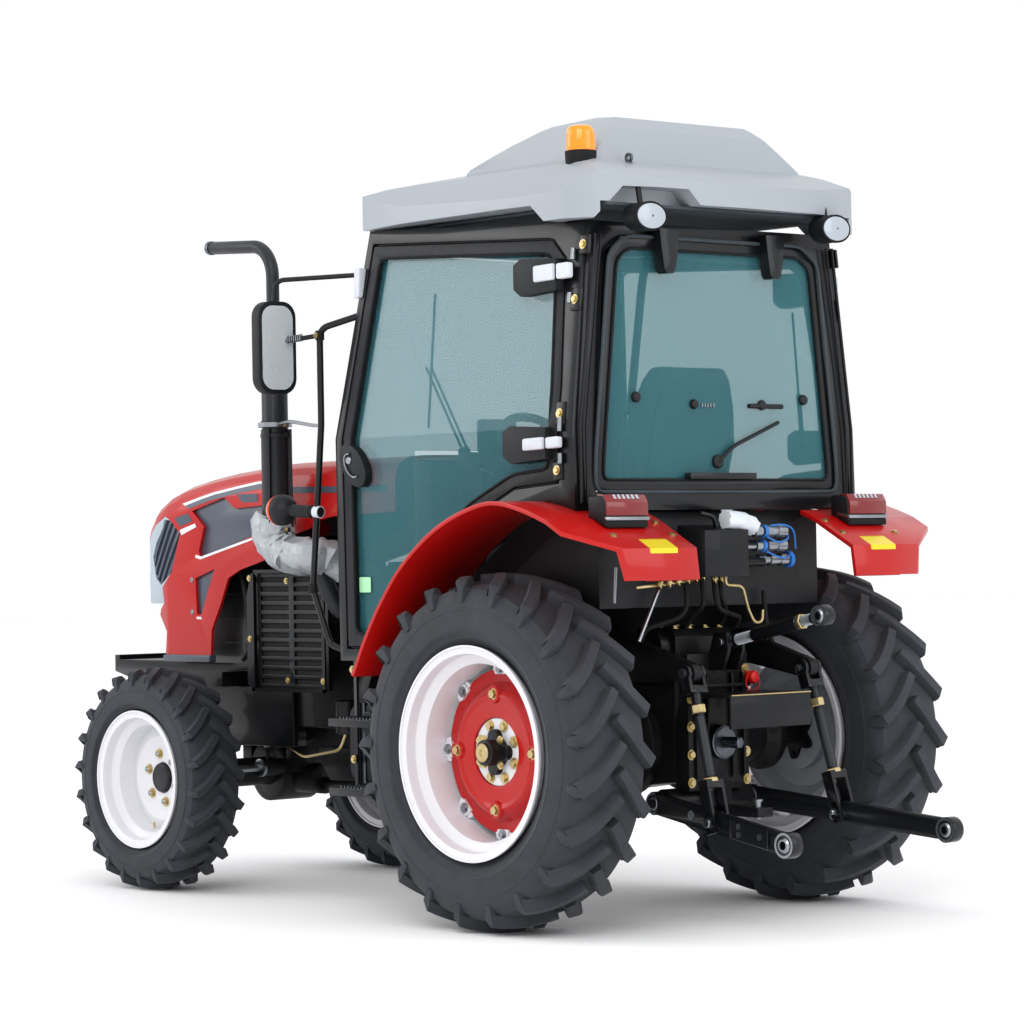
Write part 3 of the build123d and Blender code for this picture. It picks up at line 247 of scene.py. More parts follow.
def mirror_silver():
    """Silvered mirror glass under its thin shipping film, which dulls what it mirrors."""
    return new_finish("silvered_mirror_glass", "#DCE0E3", 0.3, 0.3, spread=(mottle(80, 2), 0.24, 0.34))


def hex_of(colour):
    """A linear colour as an sRGB hex colour."""
    return "#" + "".join(f"{round(255 * (c * 12.92 if c <= 0.0031308 else 1.055 * c ** (1 / 2.4) - 0.055)):02X}"
                         for c in colour)


def darker(colour, share=0.9):
    """A hex colour a little darker."""
    return "#" + "".join(f"{round(int(colour[place:place + 2], 16) * share):02X}" for place in (1, 3, 5))


def make_materials(settings):
    """Every finish on the tractor, by the words used for it below."""
    red, white, roof = (hex_of(colour) for colour in (settings.enamel, settings.wheel_enamel, settings.roof_colour))
    return {
        "red": sprayed_enamel("red_enamel_on_sheet", red, darker(red), 0.32, 0.4, 0.35),
        "white": sprayed_enamel("white_enamel_on_wheels", white, darker(white, 0.96), 0.36, 0.4),
        "grey": sprayed_enamel("grey_primer_on_inner_discs", "#A6AAB0", "#989CA2", 0.5, 0.1),
        "black": sprayed_enamel("black_enamel_on_sheet", "#0D0E11", "#15181B", 0.34, 0.35, 0.35),
        "cast": cast_iron_enamel(),
        "rubber": moulded_tyre_rubber(),
        "seal": moulded_plastic("extruded_rubber_seal", "#0E0F11", "#151619", 0.7, 3),
        "plastic": moulded_plastic("black_moulded_plastic", "#141619", "#1B1D21", 0.5),
        "trim": moulded_plastic("grey_cab_lining", "#3C4449", "#475056", 0.75, 3),
        "roof": roof_gelcoat(roof),
        "glass": tinted_glazing(),
        "mirror": mirror_silver(),
        "stack": sprayed_enamel("heat_proof_black_on_exhaust", "#232529", "#303236", 0.42, 0.1, 0.4),
        "steel": metal("machined_steel", "#7B7F84", "#5E6267", 0.34),
        "zinc": metal("bright_zinc_plate", "#A9ADB1", "#8C9095", 0.3),
        "gold": metal("yellow_passivated_zinc", "#B8A26E", "#D6C8A0", 0.36),
        "foil": crumpled_foil(),
        "foam": packing_foam(),
        "slate": printed_vinyl("slate_vinyl_panel", "#4B5462", "#434B58"),
        "pale": printed_vinyl("white_vinyl_stripe", "#E8EAEE", "#DADDE3"),
        # pink is a painted reflection: the pale pink that the hood's glossy shoulder reflects, made as a finish that no
        # piece uses
        "pink": printed_vinyl("pale_red_vinyl_band", "#DDA9AF", "#D49AA2"),
        "yellow": printed_vinyl("yellow_vinyl_plate", "#E9D21E", "#DFC518"),
        "green": printed_vinyl("pale_green_vinyl_patch", "#A6E3B0", "#B6EABF"),
        "lens": lamp_lens("clear_acrylic_lens", "#A9B0B8", 0.0),
        "red_lens": lamp_lens("red_acrylic_lens", "#7A1013", 0.02),
        "amber": lamp_lens("amber_acrylic_lens", "#F28A08", 0.25),
        "cloth": woven_seat_cloth(),
        "blue": moulded_plastic("blue_moulded_cap", "#2F78C4", "#2A6DB5", 0.4),
        "red_cap": moulded_plastic("red_moulded_cap", "#DD2A22", "#C9221B", 0.42),
        "orange": moulded_plastic("orange_moulded_grip", "#F0591E", "#E04F18", 0.45),
        "silver": moulded_plastic("pale_grey_nose_trim", "#A9B4BC", "#B6C0C8", 0.4),
    }


FINISH = {}     # filled when the settings are first asked for


# ---- objects -------------------------------------------------------------
def object_of(name, data):
    """An object in the scene that holds the data."""
    made = bpy.data.objects.new(name, data)
    bpy.context.scene.collection.objects.link(made)
    return made


def evaluated(made):
    """A new mesh of the object as its modifiers leave it."""
    bpy.context.view_layer.update()
    return bpy.data.meshes.new_from_object(made.evaluated_get(bpy.context.evaluated_depsgraph_get()))


def apply_all(made):
    """Makes the work of the object's modifiers part of its mesh."""
    plain = made.data
    made.data = evaluated(made)
    made.modifiers.clear()
    made.data.name = made.name
    bpy.data.meshes.remove(plain)


# ---- shapes --------------------------------------------------------------
def rounded(corners, bend, steps=6):
    """A path through the corners with each inner one rounded off by up to bend."""
    corners = [Vector(c) for c in corners]
    path = [corners[0]]
    for before, corner, after in zip(corners, corners[1:], corners[2:]):
        reach = min(bend, (corner - before).length * 0.48, (after - corner).length * 0.48)
        start = corner + (before - corner).normalized() * reach
        end = corner + (after - corner).normalized() * reach
        for step in range(steps + 1):
            t = step / steps
            path.append(start * (1 - t) ** 2 + corner * 2 * t * (1 - t) + end * t * t)
    return path + [corners[-1]]


def soft_box(low, high, corner, steps=4):
    """Points of a flat rectangle with round corners."""
    points = []
    for x, y, turn in ((high[0] - corner, high[1] - corner, 0), (low[0] + corner, high[1] - corner, 90),
                       (low[0] + corner, low[1] + corner, 180), (high[0] - corner, low[1] + corner, 270)):
        for step in range(steps + 1):
            angle = math.radians(turn + 90 * step / steps)
            points.append((x + corner * math.cos(angle), y + corner * math.sin(angle)))
    return points


def closed_round(outline, bend, steps=4):
    """A closed flat outline with every corner rounded off."""
    corners = [Vector((*point, 0)) for point in outline]
    points = []
    for k, corner in enumerate(corners):
        before, after = corners[k - 1], corners[(k + 1) % len(corners)]
        path = rounded((before, corner, after), bend, steps)
        points += [(p.x, p.y) for p in path[1:-1]]
    return points


def about(centre, axis, sides):
    """Places round an axis: the function takes how far along, how far out, and which of the sides."""
    axis = Vector(axis).normalized()
    across = axis.cross(UP if abs(axis.z) < 0.9 else AHEAD).normalized()
    lift = axis.cross(across)
    centre = Vector(centre)

    def spot(along, radius, k):
        turn = TURN * k / sides
        return centre + axis * along + (across * math.cos(turn) + lift * math.sin(turn)) * radius
    return spot


def hoop(centre, across, lift, radius, sides, flat=1.0):
    """Points of a circle, or of an ellipse whose lift is flattened."""
    return [centre + (across * math.cos(TURN * s / sides) + lift * math.sin(TURN * s / sides) * flat) * radius
            for s in range(sides)]


def spoke(angle):
    """A direction square to the tractor's length, and the one a quarter turn on."""
    return Vector((0, math.cos(angle), math.sin(angle))), Vector((0, -math.sin(angle), math.cos(angle)))


class Shape:
    """A mesh being made, in millimetres ahead, left and up."""

    def __init__(self):
        self.mesh = bmesh.new()

    def skin(self, rings, closed=False):
        """Joins rings of the same number of points; closed joins the last to the first instead of filling the ends."""
        made = [[self.mesh.verts.new(point) for point in ring] for ring in rings]
        count = len(made[0])
        for ring, following in zip(made, made[1:] + (made[:1] if closed else [])):
            for k in range(count):
                self.mesh.faces.new((ring[k], ring[(k + 1) % count], following[(k + 1) % count], following[k]))
        if not closed:
            self.mesh.faces.new(reversed(made[0]))
            self.mesh.faces.new(made[-1])
        return self

    def prism(self, outline, plane, start, depth):
        """A flat outline pushed through: side is (ahead, up), cross is (left, up) and deck is (ahead, left)."""
        place = {"side": lambda a, b, c: (a, c, b), "cross": lambda a, b, c: (c, a, b),
                 "deck": lambda a, b, c: (a, b, c)}[plane]
        return self.skin([[place(a, b, c) for a, b in outline] for c in (start, start + depth)])

    def block(self, low, high):
        """A box between two corners."""
        return self.prism([(low[0], low[1]), (high[0], low[1]), (high[0], high[1]), (low[0], high[1])],
                          "deck", low[2], high[2] - low[2])

    def tube(self, path, radius, sides=14, flat=1.0):
        """A round bar along a path; radius may be one for each point."""
        path = [Vector(point) for point in path]
        radii = radius if isinstance(radius, (list, tuple)) else [radius] * len(path)
        heading = (path[1] - path[0]).normalized()
        across = heading.cross(UP if abs(heading.z) < 0.9 else AHEAD).normalized()
        rings = []
        for k, point in enumerate(path):
            before = path[max(0, k - 1)]
            after = path[min(len(path) - 1, k + 1)]
            heading = (after - before).normalized()
            across = (across - heading * across.dot(heading)).normalized()
            lift = heading.cross(across)
            rings.append(hoop(point, across, lift, radii[k], sides, flat))
        return self.skin(rings)

    def bend(self, corners, bend, radius, sides=14):
        """A bar with rounded corners."""
        return self.tube(rounded(corners, bend), radius, sides)

    def turned(self, centre, axis, profile, sides=48):
        """A profile of (along the axis, radius) turned about an axis, closed at both ends."""
        spot = about(centre, axis, sides)
        return self.skin([[spot(along, max(radius, 0.05), s) for s in range(sides)] for along, radius in profile])

    def ring(self, centre, axis, profile, sides=64):
        """A closed profile of (along the axis, radius) turned about an axis, as a rim or a washer."""
        spot = about(centre, axis, sides)
        return self.skin([[spot(along, radius, s) for along, radius in profile] for s in range(sides)], True)

    def ball(self, centre, radii, steps=12):
        """A sphere or an egg."""
        radii = radii if isinstance(radii, (tuple, list)) else (radii,) * 3
        rings = []
        for step in range(1, steps):
            lift = math.pi * step / steps
            rings.append([(centre[0] + radii[0] * math.sin(lift) * math.cos(TURN * s / (2 * steps)),
                           centre[1] + radii[1] * math.sin(lift) * math.sin(TURN * s / (2 * steps)),
                           centre[2] - radii[2] * math.cos(lift)) for s in range(2 * steps)])
        return self.skin(rings)

    def copy_of(self, node):
        """The solid of a CAD node, its triangles merged."""
        part = bmesh.new()
        part.from_mesh(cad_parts[node].data)
        bmesh.ops.transform(part, matrix=Matrix.Scale(1 / MM, 4) @ Matrix.Translation(-ORIGIN),
                            verts=part.verts)
        bmesh.ops.remove_doubles(part, verts=part.verts, dist=0.02)
        bmesh.ops.dissolve_limit(part, angle_limit=math.radians(0.15), verts=part.verts, edges=part.edges)
        carried = bpy.data.meshes.new("carried")
        part.to_mesh(carried)
        part.free()
        self.mesh.from_mesh(carried)
        bpy.data.meshes.remove(carried)
        return self

    def loose(self, name, origin=ORIGIN):
        """The shape as a bare object in metres."""
        bmesh.ops.recalc_face_normals(self.mesh, faces=self.mesh.faces)
        bmesh.ops.transform(self.mesh, matrix=Matrix.Translation(origin) @ Matrix.Scale(MM, 4),
                            verts=self.mesh.verts)
        data = bpy.data.meshes.new(name)
        self.mesh.to_mesh(data)
        self.mesh.free()
        return object_of(name, data)

    def copies(self, name, tree, finish, **inputs):
        """The shape, made about the origin, copied by one of the trees."""
        return grown(self.loose(name, Vector()), tree, finish, **inputs)

    def piece(self, name, finish, body="chassis", slot=None, replaces=(), soften=0.0, angle=32):
        """The finished piece: in metres, with softened edges, on its body."""
        return dress(self.loose(name), finish, body, replaces, soften, angle)


def dress(made, finish, body="chassis", replaces=(), soften=0.0, angle=32):
    """Gives an object its finish, softened edges and body, and hides the CAD nodes that it stands for."""
    made.data.materials.clear()
    made.data.materials.append(FINISH[finish])
    if soften:
        edge = made.modifiers.new("soft edges", "BEVEL")
        edge.width = soften * MM
        edge.segments = 2
        edge.limit_method = "ANGLE"
        edge.angle_limit = math.radians(angle)
        apply_all(made)
    made.data.shade_smooth()
    made.data.set_sharp_from_angle(angle=math.radians(angle))
    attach(made, body)
    if replaces:
        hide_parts(*replaces)
    return made


def recast(node, finish, soften=0.0, body="chassis", slot=None, angle=32, name=None):
    """A CAD node's own solid with its finish and softened edges."""
    Shape().copy_of(node).piece(name or node + "_painted", finish, body, slot, (node,), soften, angle)


# ---- geometry nodes ------------------------------------------------------
def new_tree(name, inputs):
    """A geometry tree with its named inputs, its first node and its last."""
    tree = bpy.data.node_groups.new(name, "GeometryNodeTree")
    tree.interface.new_socket("Geometry", in_out="INPUT", socket_type="NodeSocketGeometry")
    for label, kind in inputs:
        tree.interface.new_socket(label, in_out="INPUT", socket_type="NodeSocket" + kind)
    tree.interface.new_socket("Geometry", in_out="OUTPUT", socket_type="NodeSocketGeometry")
    return tree, add_node(tree, "NodeGroupInput")


def end_tree(tree, entry, instances):
    """Realizes the instances, gives them the finish and sends them out."""
    whole = add_node(tree, "GeometryNodeRealizeInstances", links={"Geometry": instances})
    painted = add_node(tree, "GeometryNodeSetMaterial",
                       links={"Geometry": whole.outputs["Geometry"], "Material": entry.outputs["Finish"]})
    add_node(tree, "NodeGroupOutput", links={"Geometry": painted.outputs["Geometry"]})
    return tree


def bolt_tree():
    """A hexagon bolt and its washer on each point, standing along the point's facing."""
    tree, entry = new_tree("bolts on points", (("Across Flats", "Float"), ("Head Height", "Float"),
                                               ("Finish", "Material")))
    radius = add_node(tree, "ShaderNodeMath", {1: 0.577}, {0: entry.outputs["Across Flats"]},
                      operation="MULTIPLY").outputs["Value"]
    wide = add_node(tree, "ShaderNodeMath", {1: 1.5}, {0: radius}, operation="MULTIPLY").outputs["Value"]
    low = add_node(tree, "ShaderNodeMath", {1: 0.25}, {0: entry.outputs["Head Height"]},
                   operation="MULTIPLY").outputs["Value"]
    head = add_node(tree, "GeometryNodeMeshCylinder", {"Vertices": 6},
                    {"Radius": radius, "Depth": entry.outputs["Head Height"]})
    washer = add_node(tree, "GeometryNodeMeshCylinder", {"Vertices": 20}, {"Radius": wide, "Depth": low})
    lift = add_node(tree, "ShaderNodeCombineXYZ", links={"Z": low}).outputs["Vector"]
    raised = add_node(tree, "GeometryNodeTransform",
                      links={"Geometry": head.outputs["Mesh"], "Translation": lift})
    both = add_node(tree, "GeometryNodeJoinGeometry", links={"Geometry": raised.outputs["Geometry"]})
    tree.links.new(washer.outputs["Mesh"], both.inputs["Geometry"])
    facing = add_node(tree, "GeometryNodeInputNamedAttribute", {"Name": "facing"}, data_type="FLOAT_VECTOR")
    turn = add_node(tree, "FunctionNodeAlignRotationToVector", links={"Vector": facing.outputs["Attribute"]},
                    axis="Z")
    placed = add_node(tree, "GeometryNodeInstanceOnPoints",
                      links={"Points": entry.outputs["Geometry"], "Instance": both.outputs["Geometry"],
                             "Rotation": turn.outputs["Rotation"]})
    return end_tree(tree, entry, placed.outputs["Instances"])


def wheel_tree():
    """Copies of the mesh set evenly round a wheel's axle, which runs across the tractor."""
    tree, entry = new_tree("copies round an axle", (("Count", "Int"), ("Hub", "Vector"), ("Finish", "Material")))
    points = add_node(tree, "GeometryNodePoints", links={"Count": entry.outputs["Count"]})
    step = add_node(tree, "ShaderNodeMath", {0: TURN}, {1: entry.outputs["Count"]}, operation="DIVIDE")
    place = add_node(tree, "GeometryNodeInputIndex")
    turn = add_node(tree, "ShaderNodeMath", links={0: place.outputs["Index"], 1: step.outputs["Value"]},
                    operation="MULTIPLY")
    spun = add_node(tree, "ShaderNodeCombineXYZ", links={"Y": turn.outputs["Value"]})
    whole = add_node(tree, "GeometryNodeGeometryToInstance", links={"Geometry": entry.outputs["Geometry"]})
    placed = add_node(tree, "GeometryNodeInstanceOnPoints",
                      links={"Points": points.outputs["Points"], "Instance": whole.outputs["Instances"],
                             "Rotation": spun.outputs["Vector"]})
    moved = add_node(tree, "GeometryNodeTransform", links={"Geometry": placed.outputs["Instances"],
                                                           "Translation": entry.outputs["Hub"]})
    return end_tree(tree, entry, moved.outputs["Geometry"])


def row_tree():
    """Copies of the mesh in a straight row."""
    tree, entry = new_tree("copies in a row", (("Count", "Int"), ("Step", "Vector"), ("Finish", "Material")))
    line = add_node(tree, "GeometryNodeMeshLine", links={"Count": entry.outputs["Count"],
                                                         "Offset": entry.outputs["Step"]})
    whole = add_node(tree, "GeometryNodeGeometryToInstance", links={"Geometry": entry.outputs["Geometry"]})
    placed = add_node(tree, "GeometryNodeInstanceOnPoints",
                      links={"Points": line.outputs["Mesh"], "Instance": whole.outputs["Instances"]})
    return end_tree(tree, entry, placed.outputs["Instances"])


TREES = {"bolts": bolt_tree(), "wheel": wheel_tree(), "row": row_tree()}


def grown(made, tree, finish, **inputs):
    """Runs a tree on an object and keeps the result as a plain mesh."""
    grower = made.modifiers.new(tree, "NODES")
    grower.node_group = TREES[tree]
    inputs["Finish"] = FINISH[finish]
    for item in TREES[tree].interface.items_tree:
        label = item.name.replace(" ", "_")
        if item.in_out == "INPUT" and label in inputs:
            grower[item.identifier] = inputs[label]
    apply_all(made)
    return made


def bolts(name, places, across, height, body="chassis", finish="gold"):
    """Bolts at (place, facing) pairs, in millimetres."""
    data = bpy.data.meshes.new(name)
    data.from_pydata([ORIGIN + Vector(place) * MM for place, facing in places], [], [])
    facing = data.attributes.new("facing", "FLOAT_VECTOR", "POINT")
    facing.data.foreach_set("vector", [n for place, way in places for n in Vector(way).normalized()])
    made = grown(object_of(name, data), "bolts", finish, Across_Flats=across * MM, Head_Height=height * MM)
    return dress(made, finish, body, angle=25)


def row_of(shape, name, count, step, finish):
    """The shape copied in a row, step millimetres apart, as one piece."""
    made = shape.copies(name, "row", finish, Count=count, Step=[s * MM for s in step])
    made.data.transform(Matrix.Translation(ORIGIN))
    return dress(made, finish)


def round_axle(shape, name, count, hub, finish, body):
    """The shape copied round an axle at hub, as one piece."""
    made = shape.copies(name, "wheel", finish, Count=count, Hub=ORIGIN + Vector(hub) * MM)
    return dress(made, finish, body, angle=30)


SURFACES = {}


def surface_of(node):
    """A CAD node's faces, ready to be looked at along a line."""
    if node not in SURFACES:
        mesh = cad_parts[node].data
        SURFACES[node] = BVHTree.FromPolygons([vert.co for vert in mesh.vertices],
                                              [tuple(face.vertices) for face in mesh.polygons])
    return SURFACES[node]


def sheet_on(node, outline, ray, lift=1.0, step=35.0, thick=1.5):
    """A thin sheet laid on a CAD node; ray turns the outline's flat points into where to look from and which way."""
    flat = bmesh.new()
    flat.faces.new([flat.verts.new((a, b, 0)) for a, b in outline])
    for axis, way in enumerate((Vector((1, 0, 0)), Vector((0, 1, 0)))):
        low, high = min(p[axis] for p in outline), max(p[axis] for p in outline)
        for k in range(1, int((high - low) / step) + 1):
            bmesh.ops.bisect_plane(flat, geom=flat.verts[:] + flat.edges[:] + flat.faces[:],
                                   plane_co=way * (low + k * step), plane_no=way)
    bmesh.ops.triangulate(flat, faces=flat.faces)
    flat.verts.index_update()
    depth, top, under = 500.0, [], []
    for vert in flat.verts:
        start, way = ray(vert.co.x, vert.co.y)
        start, way = Vector(start), Vector(way).normalized()
        place = surface_of(node).ray_cast(ORIGIN + start * MM, way)[0]
        if place:
            depth = ((place - ORIGIN) / MM - start).length
        top.append(start + way * (depth - lift))
        under.append(start + way * (depth + thick))
    shape = Shape()
    upper = [shape.mesh.verts.new(point) for point in top]
    lower = [shape.mesh.verts.new(point) for point in under]
    for face in flat.faces:
        corners = [vert.index for vert in face.verts]
        shape.mesh.faces.new([upper[k] for k in corners])
        shape.mesh.faces.new([lower[k] for k in reversed(corners)])
    for edge in flat.edges:
        if edge.is_boundary:
            first, second = (vert.index for vert in edge.verts)
            shape.mesh.faces.new((upper[first], upper[second], lower[second], lower[first]))
    flat.free()
    return shape


def from_side(side):
    """Looks at the tractor's side: outlines are (ahead, up)."""
    return lambda ahead, up: ((ahead, side * 1400, up), (0, -side, 0))


# ---- wheels --------------------------------------------------------------
WHEEL_SORTS = (
    # name, hub, outer radius, tyre half width, lug height, sweep back, lug top width, lugs each side, bead radius
    ("rear", REAR_WHEEL, REAR_RADIUS, 172, 36, 168, 37, 21, 358),
    ("front", FRONT_WHEEL, FRONT_RADIUS, 122, 26, 112, 27, 22, 255),
)


def casing_profile(radius, half, lug, bead):
    """Half of a casing's outside, (across, radius), crown to bead, then its inside back to the crown."""
    crown = radius - lug
    wall = crown - bead
    outside = [(0, crown), (0.35 * half, crown - 2), (0.64 * half, crown - 8), (0.83 * half, crown - 19),
               (0.92 * half, crown - 0.17 * wall), (0.955 * half, crown - 0.27 * wall)]
    for share, proud in ((0.36, 0), (0.365, 2.5), (0.39, 2.5), (0.395, 0), (0.5, 0), (0.58, 0), (0.66, 0),
                         (0.665, 2), (0.7, 2), (0.705, 0), (0.78, 0), (0.79, 3), (0.83, 3), (0.84, 0)):
        swell = half * (0.958 + 0.034 * math.sin(math.pi * (share - 0.25) / 0.65))
        outside.append((swell + proud * 0.6 - 26 * max(0, share - 0.68) / 0.2, crown - share * wall))
    rim_half = outside[-1][0] - 6
    outside += [(rim_half - 2, bead + 24), (rim_half - 16, bead + 20), (rim_half - 18, bead + 2),
                (rim_half - 44, bead + 2), (rim_half - 40, bead + 30)]
    inside = [(half - 34, bead + 0.5 * wall), (half - 40, crown - 0.2 * wall), (0.6 * half, crown - 42),
              (0, crown - 36)]
    return outside + inside


def lug_pair(radius, half, lug, sweep, top, count):
    """One bar lug of each side of a tread, half a pitch apart, about an axle at the origin."""
    shape = Shape()
    for side, offset in ((1, 0.0), (-1, math.pi / count)):
        def spot(across, behind, height):
            angle = offset - behind / radius
            return (height * math.sin(angle), side * min(across, half), height * math.cos(angle))

        rings = []
        inner, outer = -0.035 * half, 0.93 * half
        for step in range(LUG_STEPS + 1):
            t = step / LUG_STEPS
            across = inner + (outer - inner) * t
            behind = sweep * (1.18 * t - 0.18 * t ** 3)
            slope = sweep * (1.18 - 0.54 * t * t) / (outer - inner)
            tip = radius - 0.036 * radius * (max(across, 0) / outer) ** 2.4
            foot = tip - lug - 7
            size = math.hypot(1, slope)
            aside, along = slope / size, 1 / size
            wide = top * (0.92 + 0.2 * t) / 2
            ring = []
            for share, height in ((-1.55, foot), (-1.12, tip - 5), (-0.92, tip), (0.92, tip), (1.12, tip - 5),
                                  (1.55, foot)):
                ring.append(spot(across - aside * share * wide, behind + along * share * wide, height))
            rings.append(ring)
        for across, drop, depth, narrow in ((0.985, 1.35, 26, 1.12), (0.998, 2.1, 24, 1.0), (0.985, 2.75, 16, 0.7)):
            tip, wide = radius - drop * lug, top * narrow / 2
            ring = []
            for share, back in ((-1.5, depth), (-1.12, 4), (-0.92, 0), (0.92, 0), (1.12, 4), (1.5, depth)):
                ring.append(spot(across * half - back, sweep + share * wide * 0.95, tip))
            rings.append(ring)
        shape.skin(rings)
    return shape


def make_tyres(settings):
    """Four tyres: casings turned from a section, with their bar lugs copied round."""
    for sort, hub, radius, half, lug, sweep, top, count, bead in WHEEL_SORTS:
        profile = casing_profile(radius, half, lug, bead)
        profile += [(-across, height) for across, height in reversed(profile[1:-1])]
        for hand, side in SIDES:
            node = f"{sort}_tyre_{hand}"
            centre = Vector((hub.x, side * hub.y, hub.z))
            made = lug_pair(radius, half, lug * settings.lug_share, sweep, top, count).copies(
                node + "_tread", "wheel", "rubber", Count=count, Hub=ORIGIN + centre * MM)
            casing = Shape().ring(centre, LEFT, profile, 144)
            bmesh.ops.recalc_face_normals(casing.mesh, faces=casing.mesh.faces)
            bmesh.ops.transform(casing.mesh, matrix=Matrix.Translation(ORIGIN) @ Matrix.Scale(MM, 4),
                                verts=casing.mesh.verts)
            casing.mesh.from_mesh(made.data)
            casing.mesh.to_mesh(made.data)
            casing.mesh.free()
            dress(made, "rubber", f"{sort}_wheel_{hand}", (node,), angle=28)


REAR_CLAMPS = 8
FRONT_NUTS = 6
DISC_BOLTS = 4
LUG_STEPS = 9


def around(hub, side, radius, count, out, phase=0.0):
    """Places and facings of bolts on a wheel, out millimetres outboard of the hub's middle."""
    return [((hub.x + radius * math.sin(phase + TURN * k / count), side * (hub.y + out),
              hub.z + radius * math.cos(phase + TURN * k / count)), (0, side, 0)) for k in range(count)]


def make_wheels(settings):
    """Rims, discs, hubs, clamps and bolts of all four wheels."""
    for hand, side in SIDES:
        body, hub = f"rear_wheel_{hand}", REAR_WHEEL
        centre = Vector((hub.x, side * hub.y, hub.z))
        for part, finish in (("rim", "white"), ("disc", "red"), ("hub", "black")):
            node = f"rear_{part}_{hand}"
            recast(node, finish, 2, body=body, angle=25)
        # cast clamps that hold the rim's lugs to the disc
        clamp = Shape().prism(closed_round(((-30, 274), (30, 274), (24, 311), (-24, 311)), 7), "side",
                              -2 * side, 10 * side)
        clamp.prism(closed_round(((-46, 284), (46, 284), (38, 309), (-38, 309)), 6), "side", -20 * side, 22 * side)
        round_axle(clamp, f"rim_clamps_{hand}", REAR_CLAMPS, centre, "white", body)
        bolts(f"clamp_bolts_{hand}", around(hub, side, 292, REAR_CLAMPS, 9), 22, 14, body, "zinc")
        dimple = Shape().ring((0, 0, 205), LEFT * side, ((31, 17), (44, 22), (43, 30), (30, 36)), 28)
        round_axle(dimple, f"disc_dimples_{hand}", DISC_BOLTS, centre, "red", body)
        bolts(f"disc_bolts_{hand}", around(hub, side, 205, DISC_BOLTS, 38), 27, 18, body)
        Shape().ring(centre, LEFT * side, ((22, 57), (24.5, 57), (24.5, 119), (22, 119)), 64).piece(
            f"hub_plate_{hand}", "white", body)
        bolts(f"hub_bolts_{hand}", around(hub, side, 98, 8, 25, math.pi / 8), 24, 16, body)
        bolts(f"casting_bolts_{hand}", around(hub, side, 62, 4, 50, math.pi / 4), 18, 10, body)
        Shape().turned(centre + LEFT * side * 92, LEFT * side,
                       ((0, 33), (6, 33), (9, 29), (9, 12), (5, 10), (5, 0))).piece(f"axle_end_{hand}", "gold", body)
        # unpainted inner side of the disc, and the hub's star behind it
        Shape().ring(centre, LEFT * side, ((-13.5, 60), (-12, 60), (-12, 138), (20, 139), (20, 208), (-12, 245),
                                           (-12, 291), (-13.5, 291), (-13.5, 243), (18, 206), (18, 141), (-13.5, 140)),
                     96).piece(f"disc_back_{hand}", "grey", body)
        star = []
        for k in range(48):
            turn = TURN * k / 48
            reach = 84 + 18 * math.cos(6 * turn)
            star.append((hub.x + reach * math.sin(turn), hub.z + reach * math.cos(turn)))
        Shape().prism(star, "side", side * (hub.y - 15), -side * 14).piece(f"hub_star_{hand}", "cast", body, soften=2)
        bolts(f"star_bolts_{hand}", [(place, (0, -side, 0)) for place, _ in
                                          around(hub, side, 86, 6, -30)], 18, 10, body, "cast")
        Shape().bend(((hub.x + 250, side * (hub.y + 60), hub.z + 232), (hub.x + 240, side * (hub.y + 62), hub.z + 222),
                      (hub.x + 236, side * (hub.y + 96), hub.z + 218)), 8, 4, 8).piece(
            f"rear_valve_{hand}", "gold", body)

        body, hub = f"front_wheel_{hand}", FRONT_WHEEL
        for part, finish in (("rim", "white"), ("hub", "black")):
            node = f"front_{part}_{hand}"
            recast(node, finish, 2, body=body, angle=25)
        bolts(f"wheel_nuts_{hand}", around(hub, side, 98, FRONT_NUTS, -20, 0.2), 24, 20, body)
        cones = Shape()
        for place, _ in around(hub, side, 98, FRONT_NUTS, -12, 0.2):
            cones.turned(place, LEFT * side, ((-2, 12), (6, 11), (13, 5), (13, 0)), 16)
        cones.piece(f"wheel_studs_{hand}", "zinc", body)
        Shape().prism(soft_box((hub.x + 20, hub.z - 206), (hub.x + 34, hub.z - 180), 3), "side", side * (hub.y + 6),
                      side * 3).piece(f"rim_tag_{hand}", "gold", body)


# ---- hood and engine bay -------------------------------------------------
def from_front(left, up):
    """Looks at the tractor's nose: outlines are (left, up)."""
    return (3600, left, up), (-1, 0, 0)


DECAL_LIFT = 1.2
DECALS = (
    # name, finish, outline on the hood's side (ahead, up)
    ("stripe_edge", "pale", ((2494, 1562), (2380, 1584), (2273, 1604), (2110, 1624), (1963, 1640), (1850, 1644),
                             (1850, 1634), (1963, 1630), (2110, 1614), (2273, 1593), (2380, 1573), (2470, 1553))),
    ("stripe", "slate", ((2470, 1553), (2380, 1573), (2273, 1593), (2110, 1614), (1963, 1630), (1850, 1634),
                         (1850, 1612), (1963, 1608), (2110, 1594), (2273, 1573), (2380, 1553), (2440, 1540))),
    ("arrow", "slate", ((2106, 1591), (1962, 1591), (1962, 1557), (2066, 1557))),
    ("shoulder_patch", "slate", ((2546, 1502), (2452, 1521), (2419, 1487), (2508, 1468))),
    ("shoulder_stroke", "pale", ((2510, 1453), (2400, 1478), (2393, 1463), (2498, 1431))),
    # painted highlight: a pale sheet where the light catches the edge above the red arch
    ("arch_line", "pale", ((2402, 1337), (2366, 1329), (2232, 1357), (2100, 1384), (1964, 1412), (1880, 1424),
                           (1880, 1433), (1964, 1421), (2100, 1394), (2232, 1367), (2360, 1341), (2398, 1349))),
    ("rear_stripe", "slate", ((1774, 1612), (1447, 1607), (1120, 1603), (1120, 1578), (1448, 1582), (1774, 1588))),
    ("window_foot", "pale", ((2401, 1092), (2370, 1092), (2360, 1082), (2396, 1082))),
)


